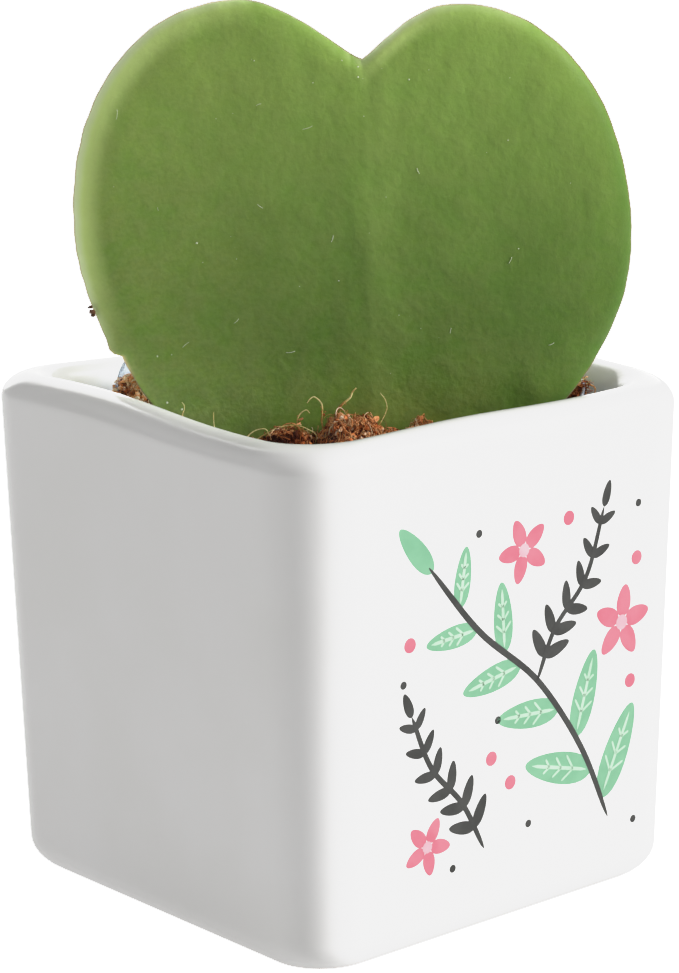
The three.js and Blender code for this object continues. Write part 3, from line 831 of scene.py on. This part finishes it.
def scattered(draw, reach, tries, wanted, near, corner, edge, gap):
    """Drawn spots on the coir, a gap clear of the blade and within a share of the plug. All of
    those at the leaf's foot and in the two corners that show are kept, and of the rest only
    the share called near."""
    spots = draw.uniform(-reach, reach, (tries, 2))
    behind, right = from_leaf(*spots.T)
    foot = (behind < 0) & (behind > -FOOT_DEPTH) & (np.abs(right) < FOOT_HALF)
    shown = foot | ((behind > 0) & (np.abs(right) > corner))
    keep = (plug_share(*spots.T) < edge) & off_blade(*spots.T, gap)
    keep &= shown | (draw.uniform(0, 1, tries) < near)
    return spots[keep][:wanted]


def make_crumbs(name, seed, wanted, near, sizes, edge):
    """Crumbs of coir, let a little into the surface."""
    draw = np.random.default_rng(seed)
    spots = scattered(draw, 27, wanted * 20, wanted, near, corner=22, edge=edge, gap=0.15)
    size = draw.gamma(4.0, sizes / 4, len(spots)).clip(0.4 * sizes, 1.9 * sizes)
    middle = np.column_stack([spots, crumbled(*spots.T) + 0.4 * size])
    rings = lumps(draw, middle, size)
    tone = draw.beta(1.5, 1.5, len(spots)) - painted_shade_and_tone(*middle.T)
    colors = (66, 26, 10), (196, 104, 52), (242, 174, 116), (254, 232, 206)
    coir_piece(name, name, colors, rings, tone[:, None, None], smooth=False)


def make_fibres():
    """Short fibres that lie on the coir: each follows a circular arc over the ground, at the
    surface plus a hump, with both ends let in. Most lie where the coir shows."""
    draw = np.random.default_rng(47)
    spots = scattered(draw, 26, 26000, 4200, near=0.25, corner=23, edge=0.92, gap=0.5)
    count = len(spots)
    t = np.linspace(0, 1, FIBRE_ROWS)
    step = draw.gamma(2.6, 0.7, count).clip(0.7, 6.0)[:, None] / FIBRE_ROWS
    heading = draw.uniform(0, 2 * np.pi, count)[:, None] + draw.normal(0, 1.2, count)[:, None] * t
    x = spots[:, :1] + np.cumsum(np.cos(heading), 1) * step
    y = spots[:, 1:] + np.cumsum(np.sin(heading), 1) * step
    hump = draw.gamma(2.0, 0.2, count).clip(0.05, 1.3)[:, None]
    z = crumbled(x, y) + 0.1 + hump * 4 * t * (1 - t)
    behind = from_leaf(x, y)[0]
    keep = (plug_share(x, y) < 0.96).all(1) & off_blade(x, y, 0.12).all(1)
    keep &= (behind > 0).all(1) | (behind < 0).all(1)
    thick = draw.uniform(0.03, 0.085, count)[keep, None] * (1 - 0.6 * t)
    tone = draw.beta(2.2, 2.0, count)[:, None] - painted_shade_and_tone(x, y, z)
    rings = tubes(np.stack([x, y, z], -1)[keep], thick, 3)
    colors = (96, 42, 18), (196, 112, 60), (234, 176, 118), (248, 222, 180)
    coir_piece("coir_fibres", "coir_fibre", colors, rings, tone[keep, :, None])


# Long fibres that stand up at the leaf: radius, tone at the foot and at the tip, and spots
CURLS = [
    (0.13, 0.45, 0.95, [
        (-9.3, -8.9, 63.2), (-9.5, -8.3, 65.5), (-9.5, -8.4, 66.6), (-9.4, -8.3, 67.7),
        (-9.6, -8.0, 68.4), (-10.1, -7.5, 68.9), (-10.6, -7.2, 68.6), (-10.9, -7.0, 68.1),
    ]),
    (0.12, 0.4, 0.9, [
        (-11.9, -6.9, 63.6), (-12.0, -6.3, 65.3), (-11.9, -6.3, 66.2), (-11.5, -6.6, 66.9),
        (-11.0, -7.0, 67.2), (-10.7, -7.3, 66.8),
    ]),
    (0.2, 0.3, 0.85, [
        (-8.4, -9.6, 65.4), (-7.9, -9.5, 67.0), (-7.2, -10.0, 68.0), (-6.5, -10.5, 68.7),
        (-6.2, -10.7, 69.5), (-5.8, -11.0, 70.0),
    ]),
    (0.08, 0.8, 0.98, [
        (-4.4, -13.2, 62.5), (-3.9, -12.9, 64.5), (-3.3, -13.3, 65.8), (-2.8, -13.6, 67.2),
        (-2.9, -13.4, 68.4), (-3.4, -13.0, 69.3),
    ]),
    (0.1, 0.75, 0.9, [
        (-18.6, -5.2, 62.8), (-18.1, -5.3, 63.9), (-17.2, -6.0, 64.7), (-15.9, -7.0, 65.5),
        (-14.7, -7.9, 65.8), (-13.7, -8.8, 65.7), (-12.8, -9.5, 65.2), (-12.1, -10.2, 64.5),
        (-12.2, -10.1, 63.3),
    ]),
    (0.09, 0.8, 0.95, [
        (-19.8, -4.2, 63.0), (-19.1, -4.5, 64.3), (-18.3, -5.0, 65.1), (-17.5, -5.7, 65.4),
        (-17.0, -6.1, 65.2), (-16.8, -6.6, 64.2),
    ]),
    (0.11, 0.6, 0.85, [(-12.8, -5.9, 64.6), (-12.2, -6.1, 65.2), (-11.4, -6.9, 64.3), (-10.4, -7.7, 63.6)]),
    (0.08, 0.9, 1.0, [
        (-23.2, 3.0, 64.0), (-23.6, 3.2, 66.6), (-23.4, 3.1, 67.5), (-23.4, 3.1, 68.1),
        (-23.6, 3.3, 68.5),
    ]),
    (0.07, 0.9, 1.0, [(-20.4, 0.4, 63.5), (-20.5, 0.6, 66.0), (-20.4, 0.7, 67.1)]),
    (0.13, 0.7, 0.95, [
        (20.2, -20.8, 64.0), (22.1, -22.2, 66.6), (22.9, -22.8, 67.7), (23.5, -23.2, 68.7),
        (24.2, -23.7, 69.3),
    ]),
    (0.1, 0.6, 0.95, [
        (20.9, -21.4, 64.2), (22.5, -22.6, 66.5), (23.4, -23.2, 67.4), (24.3, -23.8, 68.5),
        (24.6, -24.1, 68.9),
    ]),
    (0.16, 0.2, 0.4, [
        (21.4, -21.2, 65.6), (23.1, -23.0, 67.3), (23.7, -23.4, 68.1), (24.5, -24.0, 68.2),
        (25.0, -24.4, 67.8), (24.9, -24.4, 67.1), (24.4, -24.0, 66.6),
    ]),
    (0.08, 0.3, 0.5, [(23.0, -21.2, 65.8), (24.2, -22.5, 67.0), (24.6, -22.8, 68.3), (24.8, -22.9, 69.4)]),
]


# Where shorter fibres lie tangled: middle, half sizes and number of fibres
TANGLES = [
    ((22.5, -22.5, 66.9), (1.6, 1.6, 1.2), 110),
    ((-7.8, -11.7, 65.5), (2.6, 2.6, 0.9), 150),
    ((-13.8, -6.9, 64.2), (2.8, 2.4, 0.7), 110),
    ((0.5, -17.1, 64.8), (1.4, 1.2, 0.8), 50),
    ((23.5, -23.2, 67.6), (1.3, 1.2, 0.9), 70),
    ((-17.3, 22.5, 67.8), (1.5, 1.6, 0.6), 60),
]
KNOTS = [            # bits of coir caught on the long fibres, and their sizes
    (-9.4, -8.3, 67.0, 0.24), (-9.4, -8.2, 67.45, 0.17), (-9.25, -8.4, 66.55, 0.2),
    (-9.05, -8.5, 66.95, 0.15), (-11.65, -6.6, 66.0, 0.26), (-11.8, -6.5, 65.5, 0.3),
    (-11.9, -6.3, 66.4, 0.17), (-7.9, -10.0, 66.6, 0.2), (-7.5, -10.0, 67.3, 0.15),
    (-7.0, -10.2, 67.9, 0.12),
]


def make_tangles():
    """Tangled fibres: each is an arc of a circle in a drawn plane, stretched along its normal
    into a loose turn, round a drawn spot of its clump."""
    draw = np.random.default_rng(59)
    clumps = [middle + draw.normal(0, 0.5, (count, 3)) * reach for middle, reach, count in TANGLES]
    spots = np.concatenate(clumps)
    count = len(spots)
    ways = turned_ways(draw, count)
    t = np.linspace(0, 1, TANGLE_ROWS)
    turn = draw.uniform(1.2, 4.6, count)[:, None] * t + draw.uniform(0, 6, count)[:, None]
    size = draw.gamma(3.0, 0.24, count).clip(0.25, 1.6)[:, None]
    drift = draw.normal(0, 0.7, count)[:, None] * (t - 0.5)
    flat = np.stack([size * np.cos(turn), size * np.sin(turn), drift], -1)
    paths = spots[:, None] + np.einsum("nrk,nkj->nrj", flat, ways) * (1.0, 1.0, 0.75)
    thick = draw.uniform(0.03, 0.1, count)[:, None] * (1 - 0.5 * t)
    at_right = spots[:, 0] > 15
    tone = (draw.beta(2.0, 1.8, count) - 0.32 * at_right)[:, None, None]
    keep = off_blade(paths[..., 0], paths[..., 1], 0.12).all(1)
    colors = (92, 38, 16), (200, 114, 60), (238, 180, 122), (250, 228, 190)
    coir_piece("coir_tangles", "tangled_fibre", colors, tubes(paths[keep], thick[keep], 4), tone[keep])


def make_curls():
    """The long fibres: tubes along smooth curves, thinner to the tip, with bits of coir."""
    t = np.linspace(0, 1, CURL_ROWS)
    parts, tones = [], []
    for radius, foot, tip, spots in CURLS:
        parts.append(tubes(smooth_path(spots, CURL_ROWS)[None], radius * (1 - 0.55 * t)[None], 7))
        tones.append((foot + (tip - foot) * ease(t, 0.1, 0.7))[None, :, None])
    material = coir("long_fibre", (98, 46, 20), (172, 108, 56), (208, 178, 104), (230, 214, 146))
    join_forms("coir_curls", parts, material, {"tone": tones})
    draw = np.random.default_rng(71)
    knots = np.array(KNOTS)
    forms = lumps(draw, knots[:, :3], knots[:, 3])
    tone = draw.uniform(0.15, 0.55, len(knots))[:, None, None]
    colors = (54, 22, 10), (150, 72, 36), (214, 146, 98), (246, 214, 184)
    coir_piece("coir_knots", "coir_knot", colors, forms, tone, smooth=False)


# The leaf


def spin(angle, first, second):
    """The turn by an angle from one axis towards another, as a matrix."""
    turn = np.eye(3)
    turn[first, first] = turn[second, second] = math.cos(angle)
    turn[second, first] = math.sin(angle)
    turn[first, second] = -math.sin(angle)
    return turn


LEAF_TURN = spin(LEAF_AZIMUTH, 0, 1) @ spin(math.pi / 2 - LEAF_LEAN, 1, 2) @ spin(LEAF_TILT, 0, 1)
LEAF_FOOT = spin(LEAF_AZIMUTH, 0, 1) @ (LEAF_ASIDE, -LEAF_FORWARD, LEAF_ORIGIN_HEIGHT)


def leaf_place(x, y, z):
    """Turns the leaf's own place (right, up the midrib, out of its face) into the pot's: a
    tilt in its plane, a lean backwards, a turn about the upright, and a shift."""
    return np.stack([x, y, z], -1) @ LEAF_TURN.T + LEAF_FOOT


HEART_ARCS = [       # cubic curves, each from the last one's end: two handles, end, and steps
    ((-2.2, 48.9), (-9.2, 57.2), (-16.2, 57.2), 26),
    ((-30.8, 57.2), (-39.4, 43.9), (-39.4, 28.0), 48),
    ((-39.4, 13.7), (-27.4, -7.1), (0.0, -21.0), 78),
    ((15.9, -3.6), (34.3, 4.3), (34.3, 24.9), 70),
    ((34.3, 45.5), (22.2, 54.7), (12.7, 54.7), 44),
    ((7.9, 54.7), (5.5, 52.5), (0.1, 48.4), 22),
]
NICK_HEIGHT, NICK_SIDE = 11.8, -20     # the torn notch low on the leaf, and what x it is left of


def heart_outline():
    """The heart's outline, from the notch down its left side to the tip and up its right:
    cubic curves, then pushed out above the nick, in below it, and by faint waves."""
    points, a = [], np.array(HEART_ARCS[-1][2])
    for *ends, steps in HEART_ARCS:
        b, c, d = np.array(ends)
        t = (np.arange(1, steps + 1) / steps)[:, None]
        points.append(a * (1 - t) ** 3 + 3 * b * t * (1 - t) ** 2 + 3 * c * t**2 * (1 - t) + d * t**3)
        a = d
    outline = np.concatenate(points)
    out = unit(outline - BLADE_MIDDLE)
    x, y = outline.T
    left = x < NICK_SIDE
    above = 0.35 * bell(y, NICK_HEIGHT + 0.9, 0.8) * left
    under = NICK_HEIGHT - y
    below = 0.85 * ease(under, -0.35, 0.35) * np.exp(-np.clip(under, 0, None) / 4.5) * left
    waves = 0.05 * ripples(x, y, 9.0, 61) + 0.04 * ripples(x, y, 3.4, 62)
    return outline + out * (above - below + waves)[:, None]


def painted_margin_light(outline, out):
    """Painted light along the leaf's margin, with painted shade below 0: most light at the left,
    lit shoulders at the top, one lit and one shaded flank of the notch, and a shaded right."""
    left, right = np.clip(-out[:, 0], 0, 1), np.clip(out[:, 0], 0, 1)
    up, notch_side = out[:, 1], outline[:, 0]
    painted_edge_light = (0.85 * left**2 + 0.15 * ease(up, 0.1, 0.6)) * (left > 0) * ease(up, -0.45, 0.15)
    painted_edge_light = painted_edge_light + 0.28 * ease(-out[:, 0], 0.45, 0.75) * ease(up, 0.4, 0.7)
    painted_edge_light = painted_edge_light + 0.1 * ease(up, 0.45, 0.85) * ease(out[:, 0], -0.3, 0.3)
    flanks = 0.6 * bell(notch_side, 5, 5) - 0.6 * bell(notch_side, -8, 6)
    return painted_edge_light + flanks * ease(outline[:, 1], 40, 46) - 0.9 * right * (1 - ease(up, 0.4, 0.85))


def make_leaf():
    """The blade: the outline shrunk towards the blade's middle in rows, from the middle of the
    back, round the edge, to the middle of the front. The half thickness is a quarter circle's
    over the edge's rounding. The face swells and dips a little, with a shallow midrib, and
    the whole blade bends back with the square of x and of y."""
    outline = heart_outline()
    inner = [0.006, 0.06, 0.13, 0.2, 0.28, 0.36, 0.44, 0.52, 0.6, 0.67, 0.74, 0.8, 0.85, 0.89, 0.92]
    shares = np.concatenate([inner, 1 - np.array([0.065, 0.052, 0.04, 0.03, 0.021, 0.013, 0.007, 0.0025])])
    rows = np.concatenate([shares, [1.0], shares[::-1]])[:, None]
    side = np.repeat([-1.0, 0.0, 1.0], [len(shares), 1, len(shares)])[:, None]
    edge = outline - BLADE_MIDDLE
    x, y = np.moveaxis(BLADE_MIDDLE + rows[..., None] * edge, -1, 0)
    inward = (1 - rows) * np.linalg.norm(edge, axis=1)
    full = np.clip(inward / BLADE_EDGE_ROUND, 0, 1)
    half = BLADE_THICKNESS / 2 * np.sqrt(1 - (1 - full) ** 2)
    away = ease(inward, 0.5, 5.0)
    swell = (0.07 * ripples(x, y, 13.0, 63) + 0.035 * ripples(x, y, 5.0, 64)) * away
    groove = 0.07 * bell(x, RIB_SLANT * (y - 41) - 0.2, 2.0) * away * ease(y, -4, 10)
    z = side * (half - groove + 0.35 * away * full) + swell - bend_back(x, y)
    nick = bell(y, NICK_HEIGHT - 0.6, 1.6) * (x < NICK_SIDE) * (1 - ease(inward, 0.15, 0.6))
    painted_edge_light = painted_margin_light(outline, unit(edge))
    marks = {"inward": inward, "front": side * full, "scar": nick, "painted_edge_light": painted_edge_light}
    uv = (np.stack([x, y], -1) / LEAF_MAP + LEAF_MIDDLE)[None]
    skin = leaf_skin()
    blade = closed_forms("leaf_blade", leaf_place(x, y, z)[None], skin, marks, uv)
    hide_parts("heart_leaf")
    length = np.linspace(STALK_END, STALK_TOP + 2, 12)
    radius = STALK_RADIUS * (0.8 + 0.2 * ease(length, STALK_END, STALK_TOP))
    stalk = tubes(leaf_place(0 * length, length, 0 * length)[None], radius[None], 16)
    uv = np.stack([LEAF_MIDDLE[0] + 0 * stalk[..., 0], stalk[..., 2] / LEAF_MAP], -1)
    marks = {"inward": 5.0, "front": 1.0, "scar": 0.0, "painted_edge_light": 0.0}
    piece = closed_forms("leaf_stalk", stalk, skin, marks, uv)


def bend_back(x, y):
    """How far the blade bends back: with the square of x, and of y above the leaf's foot."""
    return BLADE_CURL * x**2 + BLADE_ARCH * np.clip(y, 0, None) ** 2


def face_height(x, y):
    """How far the leaf's front face stands out of its plane."""
    return BLADE_THICKNESS / 2 + 0.3 - bend_back(x, y)


DRAWN_SPECKS = 90         # at most, besides the ones placed below
DUST_GRAIN, DUST_ROUGH = 0.0012, (0.8, 0.8)
# Lint on the leaf: the middle of each hair, its length and its direction in degrees
LINT = [
    (-32.4, 43.4, 1.3, 80), (-13.9, 43.4, 0.8, 20), (-7.7, 40.1, 1.7, 15), (-14.6, 30.4, 1.1, 140),
    (-5.5, 25.5, 0.9, 70), (-19.6, 19.9, 1.5, 48), (-18.8, 15.6, 0.9, 40), (-25.6, 12.9, 1.2, 35),
    (-12.0, 11.1, 1.2, 5), (6.3, 33.5, 0.8, 110), (17.6, 21.0, 0.9, 60), (-27.9, 30.8, 0.7, 100),
    (22.4, 9.6, 0.8, 20), (9.2, 12.4, 0.7, 75),
]
# The larger specks: place and size
SPECK_SPOTS = [
    (-14.0, 49.1, 0.2), (-0.6, 47.4, 0.16), (-0.7, 46.1, 0.17), (-12.3, 45.8, 0.14), (-23.2, 26.1, 0.22),
    (-28.7, 5.4, 0.28), (-26.8, 4.4, 0.25), (5.9, 45.3, 0.16), (18.3, 36.6, 0.17), (-10.2, 19.6, 0.14),
    (-29.5, 11.6, 0.2), (-27.6, 11.7, 0.2),
]


def make_dust():
    """Specks and lint on the leaf: flat little balls, and thin tubes on arcs, laid on its face."""
    draw = np.random.default_rng(83)
    drawn = [draw.uniform(*ends, DRAWN_SPECKS) for ends in ((-34, 30), (2, 52), (0.05, 0.13))]
    inside = np.hypot((drawn[0] + 2.5) / 33, (drawn[1] - 28) / 24) < 1
    spots = np.concatenate([SPECK_SPOTS, np.column_stack(drawn)[inside]])
    x, y, size = spots.T[..., None, None]
    size = 0.6 * size
    turn = 2 * np.pi * np.arange(6) / 6
    level = np.array([-0.5, 0.15, 0.6])[:, None]
    flat = np.array([0.8, 1.0, 0.55])[:, None] * draw.uniform(0.7, 1.3, (len(x), 3, 6))
    height = face_height(x, y) + size * level + 0 * flat
    rings = leaf_place(x + size * flat * np.cos(turn), y + size * flat * np.sin(turn), height)
    t = np.linspace(-0.5, 0.5, LINT_ROWS)
    x, y, length, aim = np.array(LINT).T[..., None]
    bow = 0.25 * length * (0.25 - t**2) * np.where(np.arange(len(x)) % 2, 1, -1)[:, None]
    aim = np.radians(aim)
    x = x + length * t * np.cos(aim) - bow * np.sin(aim)
    y = y + length * t * np.sin(aim) + bow * np.cos(aim)
    height = face_height(x, y) + 0.03 + 0.12 * (0.25 - t**2)
    hairs = tubes(leaf_place(x, y, height), np.full(x.shape, 0.03), 5)
    pale = two_tone("pale_dust", (226, 230, 208), (200, 210, 176), DUST_GRAIN, DUST_ROUGH)
    join_forms("leaf_dust", [rings, hairs], pale)
    crumb = leaf_place(*np.array([(-37.9, 18.5, -1.6), (-37.7, 17.9, -1.3), (-37.6, 17.4, -1.7)]).T)
    wide = np.sqrt(1 - level**2)
    ball = np.stack(np.broadcast_arrays(wide * np.cos(turn), wide * np.sin(turn), level), -1)
    rough = ball * draw.uniform(0.6, 1.4, (3, 3, 6, 1))
    forms = crumb[:, None, None] + np.array([0.34, 0.42, 0.3])[:, None, None, None] * rough
    dry = two_tone("dry_crumb", (120, 84, 60), (70, 44, 30), DUST_GRAIN, DUST_ROUGH)
    piece = closed_forms("leaf_crumb", forms, dry)


# The scene around the plant


CAMERA_AZIMUTH, CAMERA_ELEVATION, CAMERA_ROLL = (math.radians(a) for a in (-40.624, 12.5, -0.642))
CAMERA_DISTANCE, CAMERA_LENS = 397.86, 108.18
AIM_ASIDE, AIM_HEIGHT = 0.416, 54.134


def make_camera():
    """A camera on the line back from the aim point, rolled a little about it."""
    a, e, r = CAMERA_AZIMUTH, CAMERA_ELEVATION, CAMERA_ROLL
    back = np.array([math.sin(a) * math.cos(e), -math.cos(a) * math.cos(e), math.sin(e)])
    level = np.array([math.cos(a), math.sin(a), 0.0])
    up = np.cross(back, level)
    right = level * math.cos(r) + up * math.sin(r)
    above = -level * math.sin(r) + up * math.cos(r)
    place = (np.array([0, 0, AIM_HEIGHT]) + AIM_ASIDE * level + CAMERA_DISTANCE * back) * MM
    camera = added("camera", bpy.data.cameras.new("camera"), (right, above, back, place))
    camera.data.lens = CAMERA_LENS
    camera.data.clip_start, camera.data.clip_end = 0.02, 20.0
    bpy.context.scene.camera = camera


def make_sun(name, place, spread, strength, in_gloss):
    """Wide soft light from the direction of a place, the same all over the floor. It shows in
    shiny surfaces or not, as a lamp does or a large pale screen."""
    lamp = bpy.data.lights.new(name, "SUN")
    lamp.angle, lamp.energy = math.radians(spread), strength
    back = unit(np.array(place))
    side = unit(np.cross((0.0, 1.0, 0.0), back))
    light = added(name, lamp, (side, np.cross(back, side), back, back))
    light.visible_glossy = in_gloss


# Light that leaves a surface, and how bright it is shown: white glaze in full light keeps just
# under white, as in a studio picture, and only the floor goes on to white
SHOWN = [
    (0.15, 0.15), (0.3, 0.3), (0.45, 0.45), (0.6, 0.6), (0.68, 0.676), (0.75, 0.738), (0.82, 0.79),
    (0.9, 0.835), (1.0, 0.86), (1.1, 0.872), (1.3, 0.879), (1.5, 0.885), (1.9, 0.9), (2.4, 0.95),
]
FULL_WHITE = 2.8
FLOOR_GLOW, SURROUND_GLOW = 0.54, 0.17
SHOWN_WHITE = 2.8            # what the floor and the surround add where the camera sees them
FLOOR_HALF = 8.0             # half the floor's side, in metres
LIGHTS = [           # name, where it comes from, its spread in degrees, its strength, shows in gloss
    ("low_key", (0.688, -0.726, 0.2), 28, 3.4, False),
    ("key", (0.688, -0.726, 0.5), 28, 2.1, False),
    ("high_key", (0.643, -0.766, 0.9), 30, 0.9, True),
    ("back_right", (0.6, 1.0, 0.5), 60, 3.2, True),
    ("back_left", (-0.9, 0.5, 0.8), 60, 0.54, True),
]


def make_view():
    """The plain view, with a soft shoulder on the brightest tones."""
    view = bpy.context.scene.view_settings
    view.view_transform = "Standard"
    view.look = "None"
    view.use_curve_mapping = True
    curves = view.curve_mapping
    curves.white_level = [FULL_WHITE] * 3
    for light, shown in SHOWN:
        curves.curves[3].points.new(light / FULL_WHITE, shown)
    curves.update()


def shown_white(wires, glow):
    """A glow that lights the object gently, with enough added to look white to the camera."""
    seen = wires.node("ShaderNodeLightPath").outputs["Is Camera Ray"]
    return wires.maths("ADD", glow, wires.times(seen, SHOWN_WHITE))


def make_stage():
    """A pale floor and a surround that glow a little and are shown white, and soft lights."""
    white = 1.0, 1.0, 1.0, 1.0
    corners = [(x * FLOOR_HALF, y * FLOOR_HALF, 0) for x, y in ((-1, -1), (1, -1), (1, 1), (-1, 1))]
    mesh = bpy.data.meshes.new("floor")
    mesh.from_pydata(corners, [], [(0, 1, 2, 3)])
    material, wires, shader, place = start_material("pale_floor")
    patches = wires.group(MOTTLE, Place=place, Size=0.4, Detail=2.0)
    wires.fill(shader, {
        "Base Color": wires.mix(patches["Mask"], (124, 124, 124), (127, 127, 127)),
        "Roughness": 0.9,
        "Emission Color": white,
        "Emission Strength": shown_white(wires, FLOOR_GLOW),
    })
    mesh.materials.append(material)
    floor = added("floor", mesh)
    world = bpy.data.worlds.new("surround")
    world.use_nodes = True
    wires = Wiring(world.node_tree)
    glow = {"Color": white, "Strength": shown_white(wires, SURROUND_GLOW)}
    wires.fill(world.node_tree.nodes["Background"], glow)
    bpy.context.scene.world = world
    for light in LIGHTS:
        make_sun(*light)


make_camera()
make_pot()
make_print()
make_cup()
make_plug()
make_crumbs("coir_crumbs", seed=31, wanted=6000, near=0.5, sizes=0.25, edge=0.97)
make_crumbs("coir_bits", seed=32, wanted=6400, near=0.12, sizes=0.14, edge=0.98)
make_fibres()
make_tangles()
make_curls()
make_leaf()
make_dust()
make_stage()
make_view()
